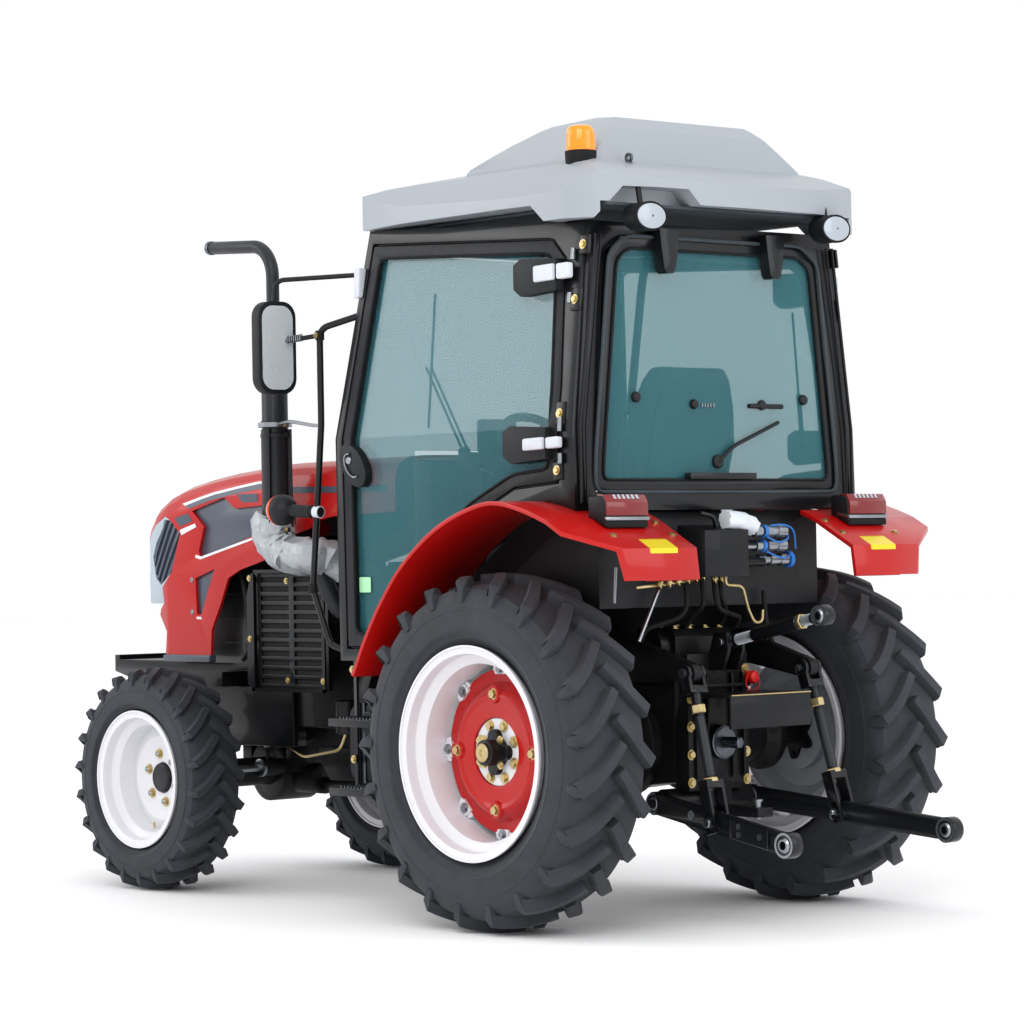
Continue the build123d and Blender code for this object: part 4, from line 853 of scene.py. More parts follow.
def make_hood(settings):
    """Hood with its vinyl stripes, a painted highlight line above the arch, grille, headlamps, latch and side shrouds.
    """
    recast("hood", "red", settings.edge / MM, body="hood", angle=22)
    recast("grille", "slate", 1.2, body="hood", name="grille_moulded")
    recast("headlamps", "silver", 3, body="hood", slot="lamp_lens", name="lamp_fascia")
    for name, finish, outline in DECALS:
        for hand, side in SIDES:
            sheet_on("hood", outline, from_side(side), DECAL_LIFT).piece(
                f"{name}_{hand}", finish, "hood", "black_plastic")
    for hand, side in SIDES:
        lens = [(side * left, up) for left, up in ((196, 1272), (262, 1284), (300, 1270), (300, 1226), (262, 1188),
                                                   (200, 1180))]
        sheet_on("headlamps", closed_round(lens, 12), from_front, 3, 20, 2).piece(
            f"headlamp_lens_{hand}", "lens", "hood")
        screws = Shape()
        for ahead, up in ((2430, 1245), (2430, 1112)):
            screws.turned((ahead, side * 343, up), LEFT * side,
                          ((0, 11), (3, 11), (5, 9), (5.4, 5), (3.5, 4), (3.5, 0)), 20)
        screws.piece(f"hood_screws_{hand}", "zinc", "hood")
        Shape().prism(soft_box((2304, 905), (2637, 933), 6), "side", side * 318, side * 34).piece(
            f"hood_rest_{hand}", "slate", soften=4)
        shroud = Shape().prism(closed_round(((2032, 900), (2398, 900), (2398, 1100), (2330, 1270), (2240, 1330),
                                             (2032, 1370)), 10), "side", side * 268, side * 4)
        for up in (980, 1080, 1180):
            shroud.prism(soft_box((2060, up), (2290, up + 10), 4), "side", side * 271, side * 5)
        shroud.piece(f"side_shroud_{hand}", "black", soften=1)
    latch = Shape().prism(soft_box((-34, 1116), (34, 1150), 8), "cross", 2926, 12)
    latch.turned((2934, 0, 1132), AHEAD, ((0, 10), (10, 10), (12, 8), (12, 0)), 24)
    latch.piece("hood_latch", "plastic", "hood")


CYLINDERS = [1510 + 110 * k for k in range(4)]      # how far ahead each one stands
FAN = Vector((2150, 0, 1118))
FAN_BLADES = 7
BELT_PLANE = 1980      # how far ahead the fan belt runs


def make_engine_bay(settings):
    """Engine with its fittings, radiator, side screens, fuel tank and steps."""
    for node, finish, soften in (("engine", "cast", 6), ("radiator", "black", 2), ("side_screens", "black", 1.2)):
        recast(node, finish, soften, name=node + "_finished")
    for hand, side in SIDES:
        Shape().block((1540, side * 320 - 1, 808), (2000, side * 320 + 1, 1268)).piece(f"screen_gauze_{hand}", "seal")
        # folded frame round the screen, with its screws
        edge = Shape()
        for low, high in (((1528, 792), (1546, 1283)), ((1994, 792), (2012, 1283)), ((1528, 792), (2012, 806)),
                          ((1528, 1269), (2012, 1283))):
            edge.prism(soft_box(low, high, 3, 2), "side", side * 345, side * 7)
        edge.prism(((2012, 1262), (2030, 1262), (2060, 1180), (2060, 820), (2012, 800)), "side", side * 326, side * 12)
        edge.piece(f"screen_edge_{hand}", "black")
        bolts(f"screen_bolts_{hand}", [((a, side * 353, z), (0, side, 0)) for a, z in (
            (2020, 1249), (1770, 1237), (2020, 1004), (1770, 840), (1540, 1237), (1540, 840))], 15, 8)
        # hoses and cables beside the radiator
        hose = Shape()
        hose.bend(((2200, side * 150, 1330), (2100, side * 230, 1300), (1960, side * 200, 1270),
                   (1880, side * 120, 1250)), 60, 24)
        hose.bend(((2215, side * 200, 990), (2120, side * 290, 960), (2040, side * 280, 1130),
                   (2060, side * 240, 1290)), 50, 15)
        hose.bend(((2230, side * 262, 1340), (2130, side * 290, 1200), (2110, side * 285, 960),
                   (2180, side * 270, 915)), 60, 11)
        hose.piece(f"coolant_hoses_{hand}", "seal")
    fin = Shape().block((2304, -238, 940), (2313, -236, 1390))
    row_of(fin, "radiator_fins", 68, (0, 7, 0), "steel")
    frame = Shape()
    for low, high in (((-250, 905), (-238, 1422)), ((238, 905), (250, 1422)), ((-250, 1398), (250, 1422)),
                      ((-250, 905), (250, 940))):
        frame.prism(soft_box(low, high, 3, 2), "cross", 2306, 12)
    frame.bend(((2262, 150, 1418), (2262, 150, 1446), (2262, 110, 1452)), 12, 11)
    frame.turned((2262, 60, 1418), UP, ((0, 27), (18, 27), (20, 33), (32, 33), (34, 29), (34, 0)), 24)
    frame.piece("radiator_frame", "black", soften=1)
    blade = Shape()
    for k in range(FAN_BLADES):
        out, across = spoke(TURN * k / FAN_BLADES)
        blade.skin([[FAN + out * r + across * s * w + Vector((s * 14 + t, 0, 0))
                     for s, t in ((-1, -1.5), (1, -1.5), (1, 1.5), (-1, 1.5))]
                    for r, w in ((40, 18), (110, 30), (178, 42))])
    blade.turned((2135, 0, 1118), AHEAD, ((0, 60), (34, 60), (38, 52), (38, 0)), 32)
    blade.piece("fan_blades", "plastic")
    # pulleys, filters, starter, rocker caps, manifolds and sump on the engine
    engine = Shape()
    for left, up, radius in ((0, 700, 82), (-105, 930, 46), (0, 1118, 62), (118, 1000, 38)):
        engine.turned((1962, left, up), AHEAD,
                      ((0, radius * 0.5), (8, radius), (14, radius), (18, radius - 9), (24, radius - 9), (28, radius),
                       (34, radius), (36, radius * 0.4), (36, 0)), 40)
    for side, ahead, up, radius, long in ((1, 1560, 760, 46, 130), (1, 1900, 900, 40, 100), (-1, 1600, 850, 58, 210)):
        engine.turned((ahead, side * (172 + radius), up), (-1 if side < 0 else 0.0, 0, 0 if side < 0 else -1),
                      ((0, radius * 0.6), (4, radius), (long, radius), (long + 6, radius * 0.7), (long + 6, 0)), 32)
    for ahead in CYLINDERS:
        engine.turned((ahead, 0, 1290), UP, ((0, 30), (14, 30), (16, 22), (16, 0)), 24)
    engine.prism(soft_box((1462, 1060), (1890, 1120), 16), "side", 168, 34)
    engine.prism(soft_box((1462, 1000), (1890, 1040), 14), "side", -168, -46)
    engine.prism(((1440, 430), (1790, 430), (1860, 520), (1860, 560), (1440, 560)), "side", 128, 6)
    engine.piece("engine_fittings", "cast", soften=2)
    pipes = Shape()
    for k, ahead in enumerate(CYLINDERS):
        pipes.bend(((1620 + 18 * k, -175, 960), (1620 + 18 * k, -205, 1070), (ahead, -196, 1150), (ahead, -120, 1196)),
                   26, 4, 8)
    pipes.bend(((1560, 222, 640), (1600, 226, 560), (1900, 180, 520), (2100, 120, 560)), 40, 6, 8)
    pipes.piece("injection_pipes", "gold")
    # the belt, round the crank's pulley and the fan's
    belt = Shape()
    path = [(BELT_PLANE, radius * math.cos(t), up + radius * math.sin(t)) for radius, up, first in
            ((82, 700, 190), (62, 1118, 10)) for t in [math.radians(first + 20 * k) for k in range(9)]]
    turns = []
    for spot in map(Vector, path):
        out = (spot - Vector((BELT_PLANE, 0, 909))).normalized()
        turns.append([spot + out * a + AHEAD * b for a, b in ((-4, -6), (4, -6), (4, 6), (-4, 6))])
    belt.skin(turns, True)
    belt.piece("fan_belt", "seal")
    # tank, its cap and straps; steps with their teeth
    recast("fuel_tank", "plastic", 12, name="fuel_tank_finished")
    for ahead in (810, 1050):
        strap = Shape()
        for low, high in (((ahead - 16, 768), (ahead + 16, 773)), ((ahead - 16, 467), (ahead + 16, 471))):
            strap.prism(((low[0], low[1]), (high[0], low[1]), (high[0], high[1]), (low[0], high[1])), "side", 175, 368)
        strap.block((ahead - 16, 540, 467), (ahead + 16, 545, 773))
        strap.piece(f"tank_strap_{ahead}", "steel")
    Shape().turned((960, 548, 700), LEFT, ((0, 34), (14, 34), (16, 44), (40, 44), (44, 38), (44, 0)), 40).piece(
        "tank_cap", "plastic")
    recast("steps", "black", 2, name="steps_finished")
    for hand, side in SIDES:
        tooth = Shape()
        for up in (458, 718):
            for k in range(3):
                left = side * (580 + 36 * k)
                tooth.prism(((790, up), (796, up + 9), (802, up)), "side", left - 9, 18)
        row_of(tooth, f"step_teeth_{hand}", 13, (20, 0, 0), "zinc")
        bolts(f"step_bolts_{hand}", [((a, side * 572, z), (0, side, 0)) for a in (790, 1070) for z in (900, 560)],
              18, 10)


def crumpled(path, radius, seed, sides=14, rough=0.13):
    """A foil sleeve round a path, dented at random."""
    sleeve = Shape().tube(rounded(path, 90, 4), radius, sides)
    random = Random(seed)
    for vert in sleeve.mesh.verts:
        vert.co += Vector((random.uniform(-1, 1), random.uniform(-1, 1), random.uniform(-1, 1))) * radius * rough
    return sleeve


STACK = (1690, 455)          # the silencer's axis, ahead and left
SHIELD = (1450, 1838)        # foot and top of the heat shield
CLAMP_HEIGHTS = (1856, 1440)


def make_exhaust(settings):
    """Exhaust stack with its heat shield, clamps and foil lagging."""
    recast("exhaust", "stack", 1.5, name="exhaust_finished")
    x, y = STACK
    # heat shield wrapped round the silencer, its two long edges folded out
    shield = Shape()
    arc = [math.radians(a) for a in range(-150, 121, 15)]
    foot, top = SHIELD
    shield.skin([[(x + r * math.cos(t), y + r * math.sin(t), z)
                  for r, z in ((53, foot), (57, foot), (57, top), (53, top))] for t in arc])
    for t in (arc[0], arc[-1]):
        shield.skin([[(x + r * math.cos(t + s), y + r * math.sin(t + s), up)
                      for r, s in ((53, -0.05), (70, -0.05), (70, 0.05), (53, 0.05))] for up in SHIELD])
    for z in (1474, 1814):
        shield.ring((x, y, z), UP, ((-7, 55), (-7, 59), (7, 59), (7, 55)), 40)
    shield.piece("heat_shield", "stack")
    band = Shape()
    for z in CLAMP_HEIGHTS:
        band.ring((x, y, z), UP, ((-9, 65), (-9, 68), (9, 68), (9, 65)), 40)
        band.block((x - 80, y - 8, z - 8), (x - 66, y + 8, z + 8))
    band.bend(((x - 60, y + 30, 1857), (1400, 600, 1857), (1100, 712, 1828), (1050, 722, 1826)), 60, 7)
    band.piece("stack_clamps", "zinc")
    bolts("stack_clamp_bolts", [((x - 74, y + 10, z), (0, 1, 0)) for z in CLAMP_HEIGHTS], 13, 8)
    crumpled(((1692, 456, 1486), (1690, 455, 1400), (1640, 452, 1345), (1500, 436, 1332), (1450, 380, 1330),
              (1440, 320, 1290)), 72, 4).piece("foil_lagging", "foil", angle=46)
    crumpled(((1722, 462, 1500), (1740, 470, 1440), (1690, 470, 1370), (1600, 462, 1330)), 64, 9).piece(
        "foil_lagging_end", "foil", angle=46)
    Shape().turned((x, y, 2000), UP, ((-4, 53), (6, 52), (22, 36), (30, 28), (30, 26.5), (10, 26.5)), 40).piece(
        "silencer_neck", "stack")
    Shape().ring((2108, 455, 2590), (1, 0, 0.06), ((-16, 25.5), (-16, 28), (2, 28), (2, 22), (-40, 22), (-40, 24)),
                 32).piece("tail_pipe_lip", "steel")


# ---- cab -----------------------------------------------------------------
DOOR_EDGE = ((845, 2488), (-170, 2430), (-245, 2360), (-275, 1900), (-270, 1580), (-40, 1565), (190, 1470),
             (370, 1350), (510, 1190), (600, 1040), (630, 995), (925, 995), (935, 1770))
WINDOW_EDGE = ((436, 2434), (-436, 2434), (-514, 2376), (-594, 1640), (-594, 1546), (594, 1546), (594, 1640),
               (514, 2376))


def from_rear(left, up):
    """Looks at the tractor's back: outlines are (left, up)."""
    return (-1700, left, up), (1, 0, 0)


def inset(outline, amount):
    """A closed flat outline moved inwards; its corners run anticlockwise."""
    moved = []
    for k, corner in enumerate(outline):
        corner, before, after = Vector(corner), Vector(outline[k - 1]), Vector(outline[(k + 1) % len(outline)])
        first, second = (corner - before).normalized(), (after - corner).normalized()
        normals = Vector((-first.y, first.x)), Vector((-second.y, second.x))
        middle = (normals[0] + normals[1]).normalized()
        moved.append(tuple(corner + middle * amount / max(0.35, middle.dot(normals[0]))))
    return moved


BELT = 1770      # height where the cab's sides begin to lean in
LEAN = 0.1282    # how far they lean in for each millimetre above it


def side_out(up, outer=700):
    """How far left the cab's side stands: upright to the belt, then leaning in."""
    return outer - max(0, up - BELT) * LEAN


def flat_way(path):
    """A direction square to a flat closed path."""
    total = Vector((0, 0, 0))
    for point, following in zip(path, path[1:] + path[:1]):
        total += point.cross(following)
    return total.normalized()


EDGING_BEND = 40      # rounding of a seal at its corners
EDGING_SIDES = 8


def edging(outline, place, radius):
    """A seal all round a flat outline; place turns its points into space."""
    path = [Vector(place(a, b)) for a, b in closed_round(outline, EDGING_BEND)]
    middle = sum(path, Vector((0, 0, 0))) / len(path)
    out = flat_way([point - middle for point in path])
    turns = []
    for k, point in enumerate(path):
        heading = (path[(k + 1) % len(path)] - path[k - 1]).normalized()
        across = heading.cross(out).normalized()
        turns.append(hoop(point, across, out, radius, EDGING_SIDES))
    return Shape().skin(turns, True)


def make_cab(settings):
    """Cab frame, doors, glass, seals, hinges, wipers and struts."""
    recast("cab_frame", "black", 5)
    recast("cab_floor", "plastic", 3, slot="black_enamel", name="cab_floor_lined")
    recast("rear_window", "black", 3)
    for node in ("door_glass_left", "door_glass_right", "rear_glass", "windscreen"):
        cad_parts[node].data.materials.clear()
        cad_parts[node].data.materials.append(FINISH["glass"])
    edging(inset(WINDOW_EDGE, -7), lambda left, up: (-359, left, up), 7).piece("rear_window_seal", "trim")
    edging(inset(WINDOW_EDGE, 36), lambda left, up: (-356, left, up), 5).piece("rear_glass_bead", "seal")
    for hand, side in SIDES:
        body = f"door_{hand}"
        recast(body, "plastic", 5, body=body, slot="black_enamel")
        edging(inset(DOOR_EDGE, 45), lambda ahead, up: (ahead, side * side_out(up, 699), up), 6).piece(
            f"door_glass_bead_{hand}", "seal", body)
        edging(inset(DOOR_EDGE, -6), lambda ahead, up: (ahead, side * side_out(up, 693), up), 4.5).piece(
            f"door_seal_{hand}", "seal")
        # bright crescent under the door handle, and its push button
        Shape().tube([(858 + 52 * math.cos(t) * 0.669 + 31 * math.sin(t) * 0.743, side * 724,
                       1668 + 52 * math.cos(t) * 0.743 - 31 * math.sin(t) * 0.669)
                      for t in [math.radians(a) for a in range(-40, 181, 11)]], 7.5, 10, 0.6).piece(
            f"handle_rim_{hand}", "zinc", body)
        Shape().turned((878, side * 720, 1688), LEFT * side, ((0, 15), (5, 15), (8, 12), (8, 0)), 24).piece(
            f"handle_button_{hand}", "zinc", body)
        # white packing foam left round the hinges
        for name, out, low, high in (("upper", 662, 2281, 2342), ("lower", 726, 1688, 1734)):
            Shape().prism(closed_round(((-246, low + 3), (-140, low), (-140, high - 3), (-246, high)), 9), "side",
                          side * out, side * 24).piece(f"hinge_foam_{name}_{hand}", "foam", body, soften=7)
            Shape().prism(closed_round(((-316, low + 6), (-256, low + 4), (-256, high - 2), (-316, high)), 9), "side",
                          side * (out - 14), side * 32).piece(f"post_foam_{name}_{hand}", "foam", soften=6)
        # hinge brackets on the rear post, with their bolts
        plates, spots = Shape(), []
        for ahead, up, high in ((-344, 2403, 34), (-322, 2212, 40), (-290, 1815, 40), (-277, 1617, 34)):
            out = side_out(up)
            lean = Vector((0, -LEAN * side, 1)) if up > BELT else UP
            rows = []
            for rise in (-high, high):
                base = Vector((ahead, side * out, up)) + lean * rise
                rows.append([base + Vector((a, side * b, 0)) for a, b in ((-26, -8), (26, -8), (22, 7), (-22, 7))])
            plates.skin(rows)
            spots.append(((ahead, side * (out + 9), up), (0, side, 0.12)))
        plates.piece(f"hinge_brackets_{hand}", "black", soften=3)
        bolts(f"hinge_bolts_{hand}", spots, 20, 10)
        pins = Shape()
        for low, high in ((2200, 2236), (2352, 2392), (1640, 1676), (1752, 1800)):
            pins.tube(((-300, side * side_out(low, 712), low), (-300, side * side_out(high, 712), high)), 9, 12)
        pins.piece(f"hinge_pins_{hand}", "zinc")
        # patch on the door's glass, and the foam on the front post
        Shape().prism(soft_box((806, 1195), (874, 1252), 6), "side", side * 683, side * 1.5).piece(
            f"glass_patch_{hand}", "green", body)
        Shape().prism(closed_round(((893, 2300), (926, 2298), (922, 2410), (886, 2412)), 10), "side", side * 606,
                      side * 44).piece(f"front_post_foam_{hand}", "foam", soften=7)
        # two ribs down the corner of the rear post
        for name, left, radius in (("outer", 676, 6), ("inner", 648, 4)):
            Shape().tube([(-367, side * side_out(up, left), up) for up in (1500, BELT, 2440)], radius, 10).piece(
                f"post_rib_{name}_{hand}", "black")
    # knobs through the rear glass, marks printed on it, and the rear wiper
    knobs = Shape()
    for left, up, radius in ((395, 1874, 19), (114, 1853, 17), (-227, 1854, 19), (-442, 1876, 19)):
        knobs.turned((-347, left, up), (-1, 0, 0), ((0, radius), (7, radius), (13, radius * 0.8), (15, radius * 0.4),
                                                   (15, 0)), 32)
    knobs.turned((-347, 0, 1648), (-1, 0, 0), ((0, 24), (9, 24), (13, 18), (13, 0)), 32)
    knobs.piece("rear_glass_knobs", "plastic")
    slots = Shape().block((-351, 68, 1843), (-347, 74, 1857))
    row_of(slots, "glass_marks", 5, (0, -14, 0), "zinc")
    arm = Shape().bend(((-357, 0, 1648), (-362, -60, 1700), (-362, -300, 1792)), 40, 7)
    arm.tube(((-352, -160, 1850), (-352, -330, 1850)), 9, 10)
    arm.piece("rear_wiper", "plastic", soften=1)
    for hand, side in SIDES:
        strut = Shape().tube(((-318, side * 470, 1700), (-318, side * 452, 1900)), 9, 14)
        strut.tube(((-318, side * 452, 1900), (-318, side * 428, 2200)), 4.5, 12)
        strut.piece(f"window_strut_{hand}", "seal")
    frame = Shape().bend(((-250, 331, 1829), (-250, 262, 2290), (-250, 235, 2392), (-250, 120, 2395),
                          (-250, -470, 2388)), 60, 15)
    frame.ball((-250, 331, 1829), (17, 17, 17))
    frame.piece("inner_tube_frame", "plastic")
    wipers = Shape()
    for shift, tip in ((0, 190), (26, 216)):
        wipers.tube(((1000, 40 + shift, 1735), (958, tip + 60, 2050)), 5, 8)
    wipers.tube(((975, 255, 1820), (912, 262, 2330)), 7, 8, 0.5)
    wipers.turned((1000, 55, 1716), (0.2, 0, 1), ((0, 24), (24, 24), (30, 14), (30, 0)), 24)
    wipers.piece("front_wiper", "seal")
    cowl = Shape().block((992, -310, 1010), (996, 310, 1680))
    for k in range(6):
        cowl.block((996, -250, 1120 + 90 * k), (1000, 250, 1150 + 90 * k))
    cowl.piece("cowl_lining", "seal", soften=1)


# ---- roof and lamps ------------------------------------------------------
def oval(centre, radii, count=40):
    """Points of a flat ellipse."""
    return [(centre[0] + radii[0] * math.cos(TURN * k / count),
             centre[1] + radii[1] * math.sin(TURN * k / count)) for k in range(count)]


def oval_stack(place, levels):
    """Upright ovals joined along the tractor, each given as how far ahead, half width and half height."""
    return Shape().skin([[(ahead, a, b) for a, b in oval(place, (wide, high))] for ahead, wide, high in levels])


BEACON = (-243, 539)     # its axis, ahead and left
BEACON_RIBS = 24


def make_roof(settings):
    """Roof shell with its lining, beacon, work lamps and ball lamps."""
    recast("roof", "roof", 16, angle=18, name="roof_shell")
    eye = Shape().ring((-319, 379, 2722), LEFT, ((-5, 9), (5, 9), (5, 17), (-5, 17)), 24)
    eye.turned((-319, 379, 2690), UP, ((0, 13), (14, 13), (18, 9), (18, 0)), 20)
    eye.piece("roof_eye_bolt", "steel")
    Shape().turned((*BEACON, 2690), UP, ((0, 54), (44, 56), (52, 56), (54, 50), (54, 0)), 48).piece(
        "beacon_base", "seal", "chassis", "black_plastic", ("beacon",))
    Shape().turned((*BEACON, 2742), UP, ((0, 50), (6, 52), (60, 50), (78, 47), (87, 40), (91, 28), (92, 0)), 64).piece(
        "beacon_dome", "amber")
    ribs = Shape()
    for low, high in zip(oval(BEACON, (50.5, 50.5), BEACON_RIBS), oval(BEACON, (49.5, 49.5), BEACON_RIBS)):
        ribs.tube(((*low, 2750), (*high, 2802)), 1.8, 6)
    ribs.piece("beacon_ribs", "amber")
    recast("work_lamps", "plastic", 2, name="work_lamp_bodies")
    for hand, side in SIDES:
        place = (side * 461, 2495)
        oval_stack(place, ((-505, 73.5, 51.5), (-519, 73.5, 51.5), (-521, 70, 48), (-516, 68, 46))).piece(
            f"roof_lamp_rim_{hand}", "seal")
        oval_stack(place, ((-515, 67, 45), (-520, 66, 44), (-524, 52, 33), (-526, 28, 17))).piece(
            f"roof_lamp_lens_{hand}", "lens")
        dots = Shape()
        for k in range(7):
            radius, angle = (0, 0) if k == 6 else (1, TURN * k / 6)
            dots.ball((-524 + 2.5 * radius, place[0] + 36 * radius * math.cos(angle),
                       place[1] + 23 * radius * math.sin(angle)), (3, 6, 6), 6)
        dots.piece(f"roof_lamp_dots_{hand}", "trim", "chassis", "lamp_lens")
        # ball lamps: amber rim to the front, clear face, foam round the stalk
        x, y, z = 1254, side * 752, 1511
        Shape().ring((x, y, z), (1, side * 0.15, 0), ((18, 58.5), (26, 56), (34, 52), (30, 46), (18, 50)), 48).piece(
            f"ball_lamp_rim_{hand}", "orange", "chassis", "amber_lens")
        Shape().turned((x, y, z), (1, side * 0.15, 0), ((30, 49), (46, 44), (56, 30), (60, 12), (60, 0)), 40).piece(
            f"ball_lamp_lens_{hand}", "lens")
        Shape().tube(((1060, side * 718, 1499), (1088, side * 722, 1501)), 23, 24).piece(
            f"lamp_stalk_wrap_{hand}", "foam")
    # dark closing panels under the roof's edge
    Shape().prism(closed_round(((-440, -600), (-440, 600), (860, 560), (940, 0), (860, -560)), 40), "deck", 2536,
                  10).piece("roof_lining", "trim")


# ---- fenders -------------------------------------------------------------
FENDER_LINES = (
    # corners of the arch's upper and lower faces, ahead and up
    ((640, 900), (617, 935), (565, 1027), (470, 1160), (338, 1300), (150, 1425), (-57, 1498), (-218, 1508),
     (-452, 1441), (-640, 1340)),
    ((626, 892), (605, 928), (554, 1018), (460, 1151), (330, 1289), (143, 1412), (-60, 1484), (-218, 1494),
     (-448, 1427), (-627, 1330)),
)


FENDER_STEP = 22      # spacing of the cuts that let the sheet bend, millimetres


def rolled(shape):
    """The fender's straight runs bent to the smooth curve through their corners; both end runs stay straight."""
    work = shape.mesh
    for ahead in range(-440, 610, FENDER_STEP):
        bmesh.ops.bisect_plane(work, geom=work.verts[:] + work.edges[:] + work.faces[:], plane_co=(ahead, 0, 0),
                               plane_no=(1, 0, 0))
    for vert in work.verts:
        spot, found = Vector((vert.co.x, vert.co.z)), []
        for corners in FENDER_LINES:
            points = [Vector(corner) for corner in corners]
            for before, start, stop, after in zip(points, points[1:], points[2:], points[3:]):
                run = stop - start
                t = (spot - start).dot(run) / run.length_squared
                if 0 < t < 1:
                    level = start + run * t
                    curve = (2 * start + (stop - before) * t + (2 * before - 5 * start + 4 * stop - after) * t * t
                             + (3 * start - before - 3 * stop + after) * t ** 3) / 2
                    found.append(((spot - level).length, curve - level))
        gap, shift = min(found, key=lambda entry: entry[0], default=(99, None))
        if gap < 3:     # on one of the two faces
            vert.co += Vector((shift.x, 0, shift.y))
    return shape


def make_fenders(settings):
    """Rear fenders with their bolts, plates and tail lamps."""
    recast("tail_lamps", "plastic", 6, name="tail_lamp_bodies")
    for hand, side in SIDES:
        node = f"fender_{hand}"
        rolled(Shape().copy_of(node)).piece(node + "_painted", "red", "chassis", "red_enamel", (node,), 6, 50)
        low, high = sorted((side * 482, side * 611))
        sheet_on(node, soft_box((low, 1322), (high, 1372), 5), from_rear, 1.2, 9).piece(
            f"fender_patch_{hand}", "yellow")
        bolts(f"fender_bolts_{hand}", [((a, side * y, z), (-0.5, 0, 1)) for a, y, z in (
            (-556, 425, 1386), (-556, 700, 1386), (-470, 425, 1431), (-470, 640, 1431))], 17, 8)
        low, high = sorted((side * 503, side * 697))
        band = Shape().prism(soft_box((low - 5, 1438), (high + 5, 1450), 5), "cross", -521, 8)
        band.prism(closed_round(((-521, 1438), (-521, 1450), (-460, 1462), (-460, 1450)), 3), "side", side * 496,
                   side * 6)
        band.piece(f"tail_lamp_band_{hand}", "zinc", soften=2)
        Shape().prism(closed_round(((-520, 1454), (-520, 1499), (-503, 1527), (-470, 1529), (-470, 1520), (-498, 1518),
                                    (-510, 1454)), 3), "side", side * 503, side * 194).piece(
            f"tail_lamp_lens_{hand}", "red_lens", soften=4)
        slit = Shape().prism(((-514.5, 1512), (-505, 1527), (-503, 1527), (-512.5, 1512)), "side", side * 540,
                             side * 12)
        row_of(slit, f"lamp_slits_{hand}", 6, (0, side * 21, 0), "lens")
        Shape().prism(soft_box((low, 1413), (high, 1436), 6), "cross", -519, 8).piece(
            f"tail_lamp_foot_{hand}", "seal", soften=3)
        Shape().tube([(-641, side * 395, 1232), (-641, side * 545, 1232), (-641, side * 630, 1232)], 5, 8).piece(
            f"fender_lip_roll_{hand}", "red")


# ---- inside the cab ------------------------------------------------------
SEAT_BACK = (
    # height, front, rear, half width
    (1420, -22, -104, 226), (1470, -40, -138, 236), (1600, -70, -172, 250), (1715, -92, -195, 262),
    (1850, -124, -222, 232), (1950, -150, -240, 196), (1992, -166, -240, 168), (2000, -180, -232, 150),
)
SEAT_BASE = ((1358, 250, -70, 214), (1372, 262, -78, 228), (1430, 268, -40, 232), (1452, 250, -30, 222))
PUFF = 8            # how far the stuffing may push the cover out, millimetres
CLOTH_FRAMES = 20


def stacked(levels, corner):
    """Soft rectangles joined upwards, each given as height, front, rear and half width."""
    return Shape().skin([[((front + rear) / 2 + a * (front - rear) / 2, b * half, up)
                          for a, b in soft_box((-1, -1), (1, 1), corner)] for up, front, rear, half in levels])


def seat_pad(name, levels, corner):
    """A stuffed pad: its solid is remeshed, blown up as cloth and held within the puff."""
    made = stacked(levels, corner).piece(name, "cloth", angle=60)
    even = made.modifiers.new("even mesh", "REMESH")
    even.mode, even.voxel_size = "VOXEL", 0.007
    apply_all(made)
    start = [vert.co.copy() for vert in made.data.vertices]
    cloth = made.modifiers.new("stuffing", "CLOTH")
    cloth.settings.use_pressure = True
    cloth.settings.uniform_pressure_force = 4
    cloth.settings.effector_weights.gravity = 0
    cloth.settings.quality = 4
    cloth.point_cache.frame_start, cloth.point_cache.frame_end = 1, CLOTH_FRAMES
    for frame in range(1, CLOTH_FRAMES + 1):
        bpy.context.scene.frame_set(frame)
    blown = evaluated(made)
    made.modifiers.clear()
    bpy.context.scene.frame_set(1)
    for vert, rest in zip(blown.vertices, start):
        move = vert.co - rest
        if move.length > PUFF * MM:
            vert.co = rest + move.normalized() * PUFF * MM
    made.data = blown
    made.data.name = name
    made.data.materials.clear()
    made.data.materials.append(FINISH["cloth"])
    made.data.shade_smooth()
    return made


